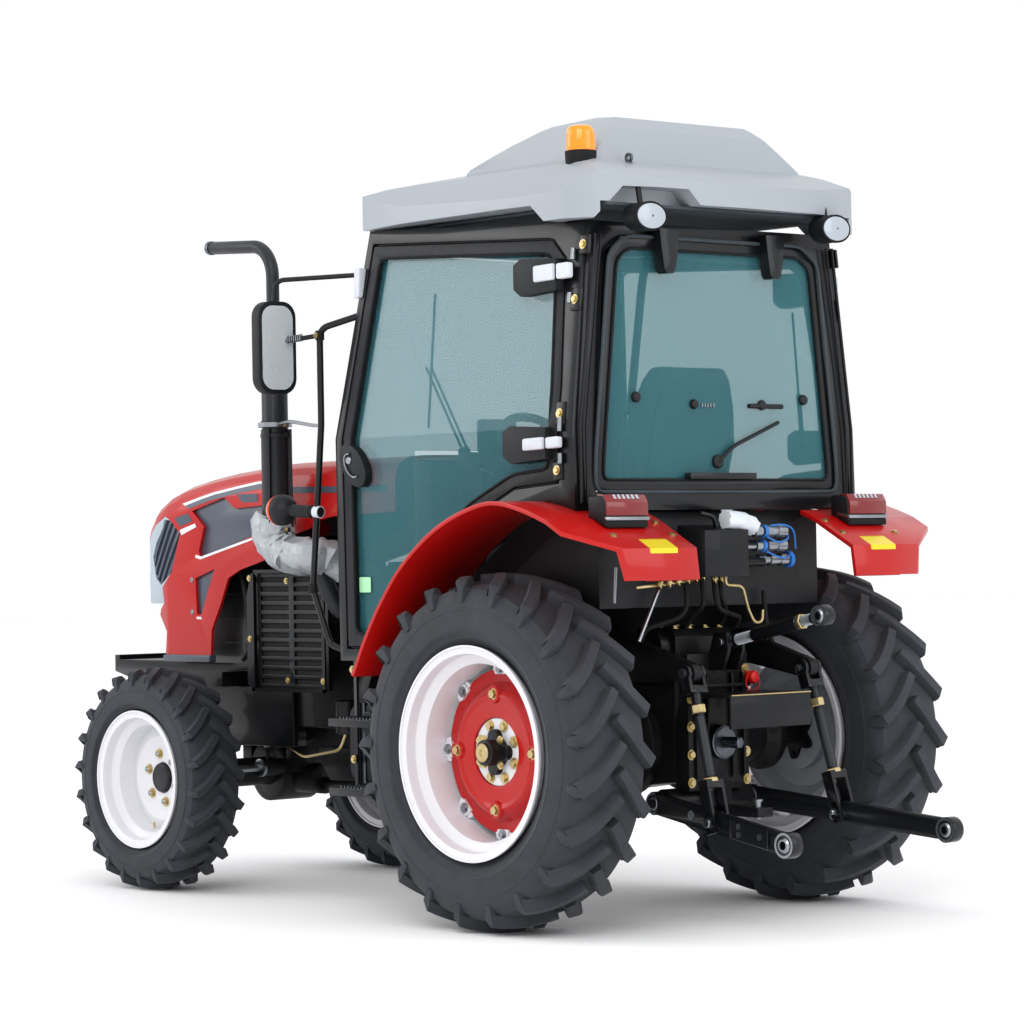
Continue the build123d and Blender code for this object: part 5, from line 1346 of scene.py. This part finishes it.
def make_interior(settings):
    """Seat, consoles, steering wheel, levers and display."""
    back = seat_pad("seat_back", SEAT_BACK, 0.32)
    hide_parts("seat")
    base = seat_pad("seat_cushion", SEAT_BASE, 0.25)
    stacked(((1400, -112, -135, 190), (1600, -176, -196, 205), (1850, -226, -243, 190), (1930, -242, -256, 160)),
            0.4).piece("seat_shell", "plastic", soften=2)
    recast("seat_base", "seal", 10, name="seat_bellows")
    folds = Shape()
    for k in range(5):
        folds.prism(soft_box((-138, -198), (258, 198), 30), "deck", 1200 + 30 * k, 9)
    folds.piece("seat_bellows_folds", "seal", soften=3)
    recast("console", "plastic", 14, name="console_moulded")
    recast("steering_wheel", "plastic", 8, name="steering_wheel_moulded")
    Shape().prism(closed_round(((712, 1650), (838, 1722), (846, 1712), (722, 1640)), 3), "side", -185, 370).piece(
        "dial_panel", "seal")
    for hand, side in SIDES:
        Shape().prism(closed_round(((-220, 1184), (420, 1184), (360, 1330), (160, 1420), (-220, 1470)), 40), "side",
                      side * 300, side * 200).piece(f"side_console_{hand}", "trim", soften=12)
    levers = Shape()
    for ahead, left, up, tip in ((250, -340, 1380, (235, -340, 1560)), (190, -400, 1390, (180, -400, 1540)),
                                 (120, -350, 1400, (100, -352, 1600))):
        levers.bend(((ahead, left, up), (ahead + 14, left, (up + tip[2]) / 2), tip), 60, 6)
    levers.bend(((760, 90, 1600), (690, 200, 1640), (680, 240, 1650)), 30, 6)
    levers.piece("levers", "steel")
    grips = Shape()
    grips.ball((235, -340, 1580), (17, 17, 26))
    grips.ball((180, -400, 1556), (16, 16, 22))
    grips.piece("lever_grips", "seal")
    Shape().tube(((-80, 395, 1470), (-68, 395, 1512), (50, 398, 1528)), (16, 18, 13), 16).piece(
        "orange_lever", "orange", soften=3)
    Shape().prism(soft_box((290, -480), (860, 480), 40), "deck", 993, 8).piece("floor_mat", "seal", soften=3)
    screen = Shape().prism(soft_box((-90, 1720), (90, 1850), 14), "cross", 858, 26)
    screen.bend(((870, 0, 1700), (870, 0, 1730)), 10, 12)
    screen.piece("display", "seal", soften=3)


# ---- rails and mirrors ---------------------------------------------------
def make_rails(settings):
    """Handrails and mirrors with their clamps."""
    recast("handrails", "black")
    recast("mirrors", "plastic", 10, name="mirror_bodies")
    for hand, side in SIDES:
        low, high = sorted((side * 738, side * 882))
        sheet_on("mirrors", soft_box((low, 1966), (high, 2284), 50, 8), from_rear, 1.5, 80).piece(
            f"mirror_glass_{hand}", "mirror")
        clamps = Shape()
        for ahead, left, up in ((1045, 720, 2165), (908, 615, 2240), (1112, 720, 1212), (965, 672, 970)):
            clamps.tube(((ahead, side * left, up - 18), (ahead, side * left, up + 18)), 17, 20)
        clamps.piece(f"rail_clamps_{hand}", "seal", soften=2)
        bolts(f"rail_bolts_{hand}", [((ahead, side * left, up), (0.2, side, 0)) for ahead, left, up in (
            (912, 622, 2268), (968, 688, 962), (1046, 738, 2165))], 15, 9)
        spring = Shape()
        for k in range(7):
            spring.tube(((1128 + 8 * k, side * (742 + 4.0 * k), 2161 - k),
                         (1132 + 8 * k, side * (744 + 4.0 * k), 2161 - k)), 14, 16)
        spring.piece(f"mirror_swivel_{hand}", "zinc")


# ---- three-point linkage -------------------------------------------------
ARM_END = Vector((-500, 290, 900))
ROD_EYE = Vector((-640, 313.5, 385))
LINK_PIN = Vector((-250, 235, 430))
LINK_BALL = Vector((-1070, 400, 335))
TOP_PIN = Vector((-395, 0, 1000))
TOP_BALL = Vector((-860, 0, 1095))


def on_side(point, side):
    """The same point on the left (1) or the right (-1)."""
    return Vector((point[0], side * point[1], point[2]))


def sleeve(start, end, low, high, radius, sides=6):
    """A nut, a collar or a rod on the line between two pins, from share low to share high."""
    start, end = Vector(start), Vector(end)
    run = end - start
    long = run.length * (high - low)
    edge = min(radius * 0.12, long / 3)
    return Shape().turned(start + run * low, run, ((0, radius - edge), (edge, radius), (long - edge, radius),
                                                  (long, radius - edge)), sides)


def joined(*shapes):
    """Several shapes as one."""
    whole = Shape()
    for shape in shapes:
        data = bpy.data.meshes.new("joined")
        shape.mesh.to_mesh(data)
        shape.mesh.free()
        whole.mesh.from_mesh(data)
        bpy.data.meshes.remove(data)
    return whole


THREAD_PITCH = 4.0
THREAD_DEPTH = 1.6


def screw(start, end, low, high, radius):
    """A threaded length: a stack of ridges."""
    start, end = Vector(start), Vector(end)
    run = end - start
    long = run.length * (high - low)
    foot = radius - THREAD_DEPTH
    profile = [(0, foot)]
    for k in range(int(long / THREAD_PITCH)):
        profile += [((k + share) * THREAD_PITCH, size) for share, size in ((0.25, foot), (0.5, radius), (0.75, foot))]
    return Shape().turned(start + run * low, run, profile + [(long, foot)], 20)


def ball_sleeve(centre, half, outer):
    """The bored ball in a socket and the polished face round it."""
    ball = Shape().ring(centre, LEFT, ((-half - 6, 15), (-half - 6, 21), (-half, 27), (half, 27), (half + 6, 21),
                                      (half + 6, 15)), 40)
    face = Shape().ring(centre, LEFT, ((-half - 1.2, outer - 11), (-half - 1.2, outer - 2), (half + 1.2, outer - 2),
                                      (half + 1.2, outer - 11)), 48)
    return joined(ball, face)


def pin_ends(centre, half, radius, side):
    """A pin's head, and its far end with a spring ring through it."""
    centre = Vector(centre)
    out = LEFT * side
    head = Shape().turned(centre + out * half, out,
                          ((0, radius + 6), (9, radius + 6), (11, radius + 3), (11, 0)), 28)
    tail = Shape().turned(centre - out * half, -out, ((0, radius), (16, radius), (19, radius - 3), (19, 0)), 24)
    loop = Shape().ring(centre - out * (half + 9) - UP * 6, (1, 0.2, 0),
                        ((-1.8, 17), (1.8, 17), (1.8, 20), (-1.8, 20)), 28)
    return joined(head, tail, loop)


def make_linkage(settings):
    """Lift arms, lift rods, lower links and top link."""
    recast("lift_cover", "cast", 6)
    recast("lift_arms", "cast", 5, body="lift")
    recast("top_link", "black", 2, body="top_link")
    bolts("lift_cover_bolts", [((a, y, 1051), (0, 0, 1)) for a in (-226, -150, -80) for y in (-110, -40, 40, 110)]
          + [((a, y, 931), (0, 0, 1)) for a in (20, 100, 170) for y in (-116, 116)], 18, 11)
    for hand, side in SIDES:
        upper, lower = on_side(ARM_END, side), on_side(ROD_EYE, side)
        pin, ball = on_side(LINK_PIN, side), on_side(LINK_BALL, side)
        body = f"lift_rod_{hand}"
        recast(body, "black", 2, body=body)
        joined(sleeve(upper, lower, 0.29, 0.70, 19.5, 28), pin_ends(upper, 41, 12, side)).piece(
            f"lift_rod_tube_{hand}", "stack", body, "bare_steel")
        screw(upper, lower, 0.14, 0.29, 18.4).piece(f"lift_rod_thread_{hand}", "zinc", body)
        joined(sleeve(upper, lower, 0.215, 0.272, 27, 6), sleeve(upper, lower, 0.702, 0.738, 27, 6)).piece(
            f"lift_rod_nuts_{hand}", "gold", body)
        body = f"lower_link_{hand}"
        recast(body, "black", 4, body=body)
        joined(ball_sleeve(ball, 24, 45), ball_sleeve(pin, 17, 42), pin_ends(lower, 45, 10, side)).piece(
            f"link_balls_{hand}", "zinc", body)
        run = (ball - pin).normalized()
        out = UP.cross(run).normalized()
        out *= side if out.y > 0 else -side
        bolts(f"link_bolts_{hand}", [(pin + run * reach + out * 13 + UP * lift, out) for reach, lift in (
            (250, 0), (560, 14), (560, -14), (690, 0))], 20, 11, body, "zinc")
        Shape().skin([[pin + run * reach + out * d + UP * z for d, z in ((11, -38), (17, -34), (17, 34), (11, 38))]
                      for reach in (500, 516, 724, 740)]).piece(
            f"link_end_pad_{hand}", "black", body, soften=2)
    joined(screw(TOP_PIN, TOP_BALL, 0.09, 0.27, 20.5), screw(TOP_PIN, TOP_BALL, 0.75, 0.90, 20.5),
           ball_sleeve(TOP_BALL, 24, 38), pin_ends(TOP_PIN, 46, 12, 1)).piece("top_link_ends", "zinc", "top_link")
    sleeve(TOP_PIN, TOP_BALL, 0.27, 0.75, 25, 30).piece("top_link_tube", "black", "top_link")
    sleeve(TOP_PIN, TOP_BALL, 0.76, 0.80, 29, 6).piece("top_link_nut", "gold", "top_link")
    Shape().bend(((-600, -26, 1046), (-600, -52, 1048), (-630, -60, 1056), (-720, -60, 1074)), 24, 6).piece(
        "top_link_handle", "zinc", "top_link")


# ---- rear services -------------------------------------------------------
PTO_HEIGHT = 640


def make_services(settings):
    """Drive line, power take-off, valve block, couplers, pipes and hoses."""
    for node, finish, soften in (("transmission", "cast", 6), ("rear_bracket", "cast", 4), ("pto_guard", "cast", 3),
                                 ("valve_block", "cast", 4)):
        recast(node, finish, soften)
    recast("pto_shaft", "steel", 1.5, name="pto_shaft_turned")
    splines = Shape()
    for k in range(6):
        out, across = spoke(math.pi * k / 3)
        splines.skin([[Vector((x, 0, PTO_HEIGHT)) + out * r + across * s
                       for r, s in ((15, -4), (20.5, -4), (20.5, 4), (15, 4))] for x in (-366, -398, -410, -437)])
    splines.ring((-362, 0, PTO_HEIGHT), AHEAD, ((-2, 20), (2, 20), (2, 52), (-2, 52)), 40)
    splines.piece("pto_splines", "steel")
    Shape().tube(((-601, -198, 819), (-601, 198, 819)), 2.6, 8).piece("guard_edge", "gold")
    ribs = Shape()
    for left in (-118, -62, 62, 118):
        ribs.prism(closed_round(((-322, 500), (-322, 900), (-344, 880), (-344, 520)), 8), "side", left - 5, 10)
    ribs.prism(soft_box((-146, 836), (146, 850), 4), "cross", -350, 22)
    ribs.piece("bracket_ribs", "cast", soften=3)
    bolts("bracket_bolts", [((-331, y, z), (-1, 0, 0)) for y in (-138, 138) for z in (500, 600, 700, 800, 900)],
          22, 12)
    # red dust cap on its ring, and the coupler that it closes
    cap = Shape().turned((-344, -150, 868), (-1, 0, 0), ((-10, 24), (18, 24), (26, 20), (30, 10), (30, 0)), 32)
    cap.ring((-356, -150, 852), AHEAD, ((-2, 32), (2, 32), (2, 36.5), (-2, 36.5)), 40)
    cap.piece("red_dust_cap", "red_cap")
    # quick couplers beside the valve block, with blue straps
    couplers, rings = Shape(), Shape()
    for ahead, up, start, stop in ((-455, 1395, 0, -225), (-442, 1343, -20, -235), (-430, 1292, -40, -262)):
        length = start - stop
        couplers.turned((ahead, start, up), (0, -1, 0),
                        ((0, 15), (length * 0.3, 15), (length * 0.3 + 2, 20), (length * 0.46, 20),
                         (length * 0.46 + 2, 16), (length * 0.56, 16), (length * 0.56 + 3, 22), (length * 0.72, 22),
                         (length * 0.72 + 2, 19), (length * 0.8, 19), (length * 0.8 + 2, 23), (length, 23),
                         (length, 14), (length - 20, 13), (length - 20, 0)), 32)
    couplers.piece("quick_couplers", "zinc")
    for ahead, up, left in ((-455, 1395, -120), (-442, 1343, -125)):
        rings.ring((ahead, left, up), LEFT, ((-8, 19), (8, 19), (8, 23), (-8, 23)), 32)
    rings.ring((-430, -268, 1292), LEFT, ((-8, 23), (8, 23), (8, 30), (-8, 30)), 36)
    rings.bend(((-470, -122, 1375), (-485, -170, 1350), (-470, -230, 1366), (-462, -238, 1384)), 40, 3.4, 8)
    rings.bend(((-460, -128, 1322), (-474, -190, 1296), (-462, -240, 1300), (-456, -262, 1318)), 40, 3.4, 8)
    rings.bend(((-470, -140, 1414), (-478, -200, 1420), (-470, -262, 1402), (-452, -286, 1330)), 40, 3.4, 8)
    rings.piece("blue_straps", "blue")
    crumpled(((-470, -52, 1412), (-474, 10, 1432), (-468, 84, 1438)), 33, 21, 22, 0.1).piece(
        "lever_foam", "foam", angle=50)
    lever = Shape().bend(((-452, 110, 1400), (-458, 130, 1450), (-452, 190, 1462)), 20, 8)
    lever.bend(((-452, 60, 1400), (-460, 30, 1424)), 10, 8)
    lever.piece("valve_levers", "black")
    pipes = Shape()
    pipes.bend(((-425, 44, 1238), (-425, 44, 1205), (-425, -40, 1200), (-422, -68, 1117), (-422, -100, 1066),
                (-422, -138, 1068), (-422, -142, 1112)), 26, 6, 10)
    pipes.bend(((-400, 150, 1240), (-402, 180, 1226), (-400, 300, 1212), (-360, 420, 1202)), 40, 6, 10)
    pipes.bend(((-400, 180, 1250), (-390, 215, 1244), (-380, 330, 1236)), 40, 5, 10)
    pipes.piece("hydraulic_pipes", "gold")
    bolts("pipe_unions", [((-404, y, z), (-0.4, -0.8, 0.35)) for y, z in (
        (48, 1226), (84, 1226), (140, 1238), (176, 1232), (214, 1226), (262, 1220), (306, 1215), (352, 1211))],
        24, 18)
    rods = Shape()
    rods.tube(((-350, 505, 1275), (-350, 515, 1150)), 6, 10)
    rods.tube(((-350, 250, 1288), (-350, 402, 1012)), 7, 10)
    rods.piece("control_rods", "zinc")
    hoses = Shape()
    for start, stop, sag in (((-380, 60, 1240), (-300, -120, 1050), 1120), ((-380, 120, 1240), (-300, 120, 1060), 1130),
                             ((-380, 30, 1236), (-290, -60, 1060), 1150), ((-370, 190, 1236), (-280, 330, 1010), 1100),
                             ((-330, -240, 1180), (-290, -300, 900), 1040)):
        start, stop = Vector(start), Vector(stop)
        hoses.bend((start, (start.x - 12, start.y, sag), (stop.x - 30, stop.y, (sag + stop.z) / 2), stop), 60, 9, 10)
    hoses.piece("rear_hoses", "seal")
    Shape().turned((-520, 0, 372), UP, ((0, 15.5), (62, 15.5), (62, 22), (70, 22), (72, 19), (72, 0)), 28).piece(
        "drawbar_pin", "zinc")


# ---- front axle ----------------------------------------------------------
KINGPIN = (2280, 470)     # ahead and left


def make_front(settings):
    """Front frame, front axle and steering knuckles."""
    for node, finish, soften in (("front_frame", "black", 4), ("front_axle", "cast", 5)):
        recast(node, finish, soften)
    rods, hoses = Shape(), Shape()
    for hand, side in SIDES:
        node, body = f"knuckle_{hand}", f"steering_{hand}"
        recast(node, "cast", 5, body=body)
        top = box_mm(node)[1].z
        bolts(f"knuckle_bolts_{hand}", [((KINGPIN[0] + a, side * (KINGPIN[1] + b), top), UP) for a, b in (
            (34, 30), (34, -30), (-34, 30), (-34, -30))], 18, 10, body)
        Shape().turned((KINGPIN[0], side * KINGPIN[1], top - 1), UP, ((0, 22), (8, 22), (10, 18), (10, 0)), 28).piece(
            f"kingpin_cap_{hand}", "steel", body)
        bolts(f"reduction_bolts_{hand}", around(Vector((*KINGPIN, FRONT_WHEEL.z)), side, 92, 8, 63, 0.39),
              17, 10, body)
        rods.tube(((2188, side * 188, 467), (2188, side * 318, 467)), 14, 20)
        rods.turned((2188, side * 186, 467), LEFT * side, ((-8, 37), (6, 37), (8, 32), (8, 16)), 32)
        hoses.bend(((2188, side * 150, 500), (2186, side * 150, 560), (2160, side * 90, 620), (2120, side * 60, 700)),
                   50, 8, 10)
        bolts(f"deck_bolts_{hand}", [((a, side * 250, z), (0, 0.4 * side, 1)) for a, z in (
            (2620, 906), (2459, 906), (2410, 906), (2282, 906))], 18, 10)
    rods.piece("steering_rods", "zinc")
    hoses.piece("steering_hoses", "seal")
    bolts("front_plate_bolts", [((2899, y, z), (1, 0, 0)) for y in (-150, 150) for z in (610, 710)], 22, 12)


# ---- stage ---------------------------------------------------------------
CAMERA_PLACE = (-9209, 8597, 1328)
CAMERA_TURN = (-0.7102, 0.0123, -0.0176)   # yaw from straight ahead, pitch and roll, radians


def make_camera(lens):
    """The camera at its place, aimed by yaw, pitch and roll."""
    yaw, pitch, roll = CAMERA_TURN
    ahead = Vector((math.cos(pitch) * math.cos(yaw), math.cos(pitch) * math.sin(yaw), math.sin(pitch)))
    right = ahead.cross(UP).normalized()
    lift = right.cross(ahead)
    rolled_right = right * math.cos(roll) + lift * math.sin(roll)
    rolled_up = lift * math.cos(roll) - right * math.sin(roll)
    camera = object_of("camera", bpy.data.cameras.new("camera"))
    camera.data.lens = lens
    camera.data.clip_end = 200
    turn = Matrix((rolled_right, rolled_up, -ahead)).transposed().to_4x4()
    camera.matrix_world = Matrix.Translation(ORIGIN + Vector(CAMERA_PLACE) * MM) @ turn
    bpy.context.scene.camera = camera


def make_stage(settings):
    """Camera, floor, studio lamps and world."""
    make_camera(settings.lens)
    data = bpy.data.meshes.new("floor")
    reach = 60
    data.from_pydata([(-reach, -reach, 0), (reach, -reach, 0), (reach, reach, 0), (-reach, reach, 0)], [],
                     [(0, 1, 2, 3)])
    data.materials.append(new_finish("white_studio_floor", "#FFFFFF", 0.9, spread=(mottle(900, 2), 0.85, 0.95)))
    object_of("floor", data)
    for name, place, power, size, colour in (
            ("key", (-6.5, 7.5, 7.0), 270, 6.0, (1.0, 0.99, 0.97)),
            ("rear fill", (-9.0, -2.5, 4.5), 150, 6.0, (0.97, 0.98, 1.0)),
            ("front fill", (7.0, 6.0, 5.0), 130, 5.0, (1.0, 1.0, 1.0)),
            ("top", (0.0, 0.0, 9.0), 50, 8.0, (1.0, 1.0, 1.0))):
        lamp = bpy.data.lights.new(name, "AREA")
        lamp.energy, lamp.size, lamp.color = power * settings.light, size, colour
        holder = object_of(name, lamp)
        holder.location = place
        holder.rotation_mode = "QUATERNION"
        holder.rotation_quaternion = (Vector((0, 0, 1.2)) - Vector(place)).to_track_quat("-Z", "Y")
    world = bpy.data.worlds.new("studio")
    world.use_nodes = True
    world.node_tree.nodes["Background"].inputs["Color"].default_value = (0.98, 0.985, 1.0, 1)
    world.node_tree.nodes["Background"].inputs["Strength"].default_value = 0.85
    bpy.context.scene.world = world
    bpy.context.scene.view_settings.view_transform = "Standard"
    bpy.context.scene.view_settings.look = "Medium High Contrast"


# ---- settings and operators ----------------------------------------------
class TRACTOR_PG_settings(bpy.types.PropertyGroup):
    """Sizes and colours of the tractor's finish that a user would change."""
    enamel: FloatVectorProperty(name="Enamel", description="Colour of the hood and fenders", subtype="COLOR", size=3,
                                default=hex_colour("#BE1713")[:3], min=0, max=1)
    wheel_enamel: FloatVectorProperty(name="Wheel enamel", description="Colour of the rims", subtype="COLOR", size=3,
                                      default=hex_colour("#E4E4E8")[:3], min=0, max=1)
    roof_colour: FloatVectorProperty(name="Roof", description="Colour of the roof shell", subtype="COLOR", size=3,
                                     default=hex_colour("#A1A7AD")[:3], min=0, max=1)
    lug_share: FloatProperty(name="Tread depth", description="Depth of the tyre's bars, as a share of new",
                             default=1.0, min=0.3, max=1.0, subtype="FACTOR")
    edge: FloatProperty(name="Sheet edge", description="Rounding of the pressed sheet's edges", default=0.005,
                        min=0.001, max=0.012, unit="LENGTH")
    lens: FloatProperty(name="Lens", description="Focal length of the camera", default=120.5, min=20, max=300,
                        unit="CAMERA")
    light: FloatProperty(name="Light", description="Strength of the studio lamps, as a share of the usual",
                         default=1.0, min=0.1, max=4.0)


def settings_of(context):
    """The settings; the finishes are made when they are first asked for."""
    settings = context.scene.tractor
    if not FINISH:
        FINISH.update(make_materials(settings))
    return settings


class TRACTOR_OT_tyres(bpy.types.Operator):
    """Four tyres with their bar treads"""
    bl_idname = "tractor.tyres"
    bl_label = "Tyres"

    def execute(self, context):
        make_tyres(settings_of(context))
        return {"FINISHED"}


class TRACTOR_OT_wheels(bpy.types.Operator):
    """Rims, discs, hubs and their bolts"""
    bl_idname = "tractor.wheels"
    bl_label = "Wheels"

    def execute(self, context):
        make_wheels(settings_of(context))
        return {"FINISHED"}


class TRACTOR_OT_front(bpy.types.Operator):
    """Front frame, front axle and steering knuckles"""
    bl_idname = "tractor.front"
    bl_label = "Front axle"

    def execute(self, context):
        make_front(settings_of(context))
        return {"FINISHED"}


class TRACTOR_OT_hood(bpy.types.Operator):
    """Hood with its stripes, grilles and headlamps"""
    bl_idname = "tractor.hood"
    bl_label = "Hood"

    def execute(self, context):
        make_hood(settings_of(context))
        return {"FINISHED"}


class TRACTOR_OT_engine(bpy.types.Operator):
    """Engine, radiator, side screens, tank and steps"""
    bl_idname = "tractor.engine"
    bl_label = "Engine bay"

    def execute(self, context):
        make_engine_bay(settings_of(context))
        return {"FINISHED"}


class TRACTOR_OT_exhaust(bpy.types.Operator):
    """Exhaust stack, its heat shield and the foil lagging"""
    bl_idname = "tractor.exhaust"
    bl_label = "Exhaust"

    def execute(self, context):
        make_exhaust(settings_of(context))
        return {"FINISHED"}


class TRACTOR_OT_cab(bpy.types.Operator):
    """Cab frame, doors, glass, seals and hinges"""
    bl_idname = "tractor.cab"
    bl_label = "Cab"

    def execute(self, context):
        make_cab(settings_of(context))
        return {"FINISHED"}


class TRACTOR_OT_roof(bpy.types.Operator):
    """Roof shell, beacon and work lamps"""
    bl_idname = "tractor.roof"
    bl_label = "Roof and lamps"

    def execute(self, context):
        make_roof(settings_of(context))
        return {"FINISHED"}


class TRACTOR_OT_fenders(bpy.types.Operator):
    """Rear fenders and tail lamps"""
    bl_idname = "tractor.fenders"
    bl_label = "Fenders"

    def execute(self, context):
        make_fenders(settings_of(context))
        return {"FINISHED"}


class TRACTOR_OT_interior(bpy.types.Operator):
    """Seat, console, steering wheel and levers"""
    bl_idname = "tractor.interior"
    bl_label = "Inside the cab"

    def execute(self, context):
        make_interior(settings_of(context))
        return {"FINISHED"}


class TRACTOR_OT_rails(bpy.types.Operator):
    """Handrails and mirrors"""
    bl_idname = "tractor.rails"
    bl_label = "Rails and mirrors"

    def execute(self, context):
        make_rails(settings_of(context))
        return {"FINISHED"}


class TRACTOR_OT_linkage(bpy.types.Operator):
    """Lift arms, lift rods, lower links and top link"""
    bl_idname = "tractor.linkage"
    bl_label = "Three-point linkage"

    def execute(self, context):
        make_linkage(settings_of(context))
        return {"FINISHED"}


class TRACTOR_OT_services(bpy.types.Operator):
    """Drive line, PTO, valve block, couplers and pipes"""
    bl_idname = "tractor.services"
    bl_label = "Rear services"

    def execute(self, context):
        make_services(settings_of(context))
        return {"FINISHED"}


class TRACTOR_OT_stage(bpy.types.Operator):
    """Camera, floor and studio lamps"""
    bl_idname = "tractor.stage"
    bl_label = "Stage"

    def execute(self, context):
        make_stage(settings_of(context))
        return {"FINISHED"}


OPERATORS = (TRACTOR_OT_tyres, TRACTOR_OT_wheels, TRACTOR_OT_front, TRACTOR_OT_hood, TRACTOR_OT_engine,
             TRACTOR_OT_exhaust, TRACTOR_OT_cab, TRACTOR_OT_roof, TRACTOR_OT_fenders, TRACTOR_OT_interior,
             TRACTOR_OT_rails, TRACTOR_OT_linkage, TRACTOR_OT_services, TRACTOR_OT_stage)


class TRACTOR_PT_panel(bpy.types.Panel):
    """Lists the tractor's settings and the pieces that it is built from."""
    bl_label = "Tractor"
    bl_idname = "TRACTOR_PT_panel"
    bl_space_type = "VIEW_3D"
    bl_region_type = "UI"
    bl_category = "Tractor"

    def draw(self, context):
        for name in TRACTOR_PG_settings.__annotations__:
            self.layout.prop(context.scene.tractor, name)
        for operator in OPERATORS:
            self.layout.operator(operator.bl_idname)


def register():
    for kind in (TRACTOR_PG_settings, *OPERATORS, TRACTOR_PT_panel):
        bpy.utils.register_class(kind)
    bpy.types.Scene.tractor = PointerProperty(type=TRACTOR_PG_settings)


def unregister():
    del bpy.types.Scene.tractor
    for kind in reversed((TRACTOR_PG_settings, *OPERATORS, TRACTOR_PT_panel)):
        bpy.utils.unregister_class(kind)


def main():
    register()
    for operator in OPERATORS:
        group, name = operator.bl_idname.split(".")
        getattr(getattr(bpy.ops, group), name)()


if __name__ == "__main__":
    main()
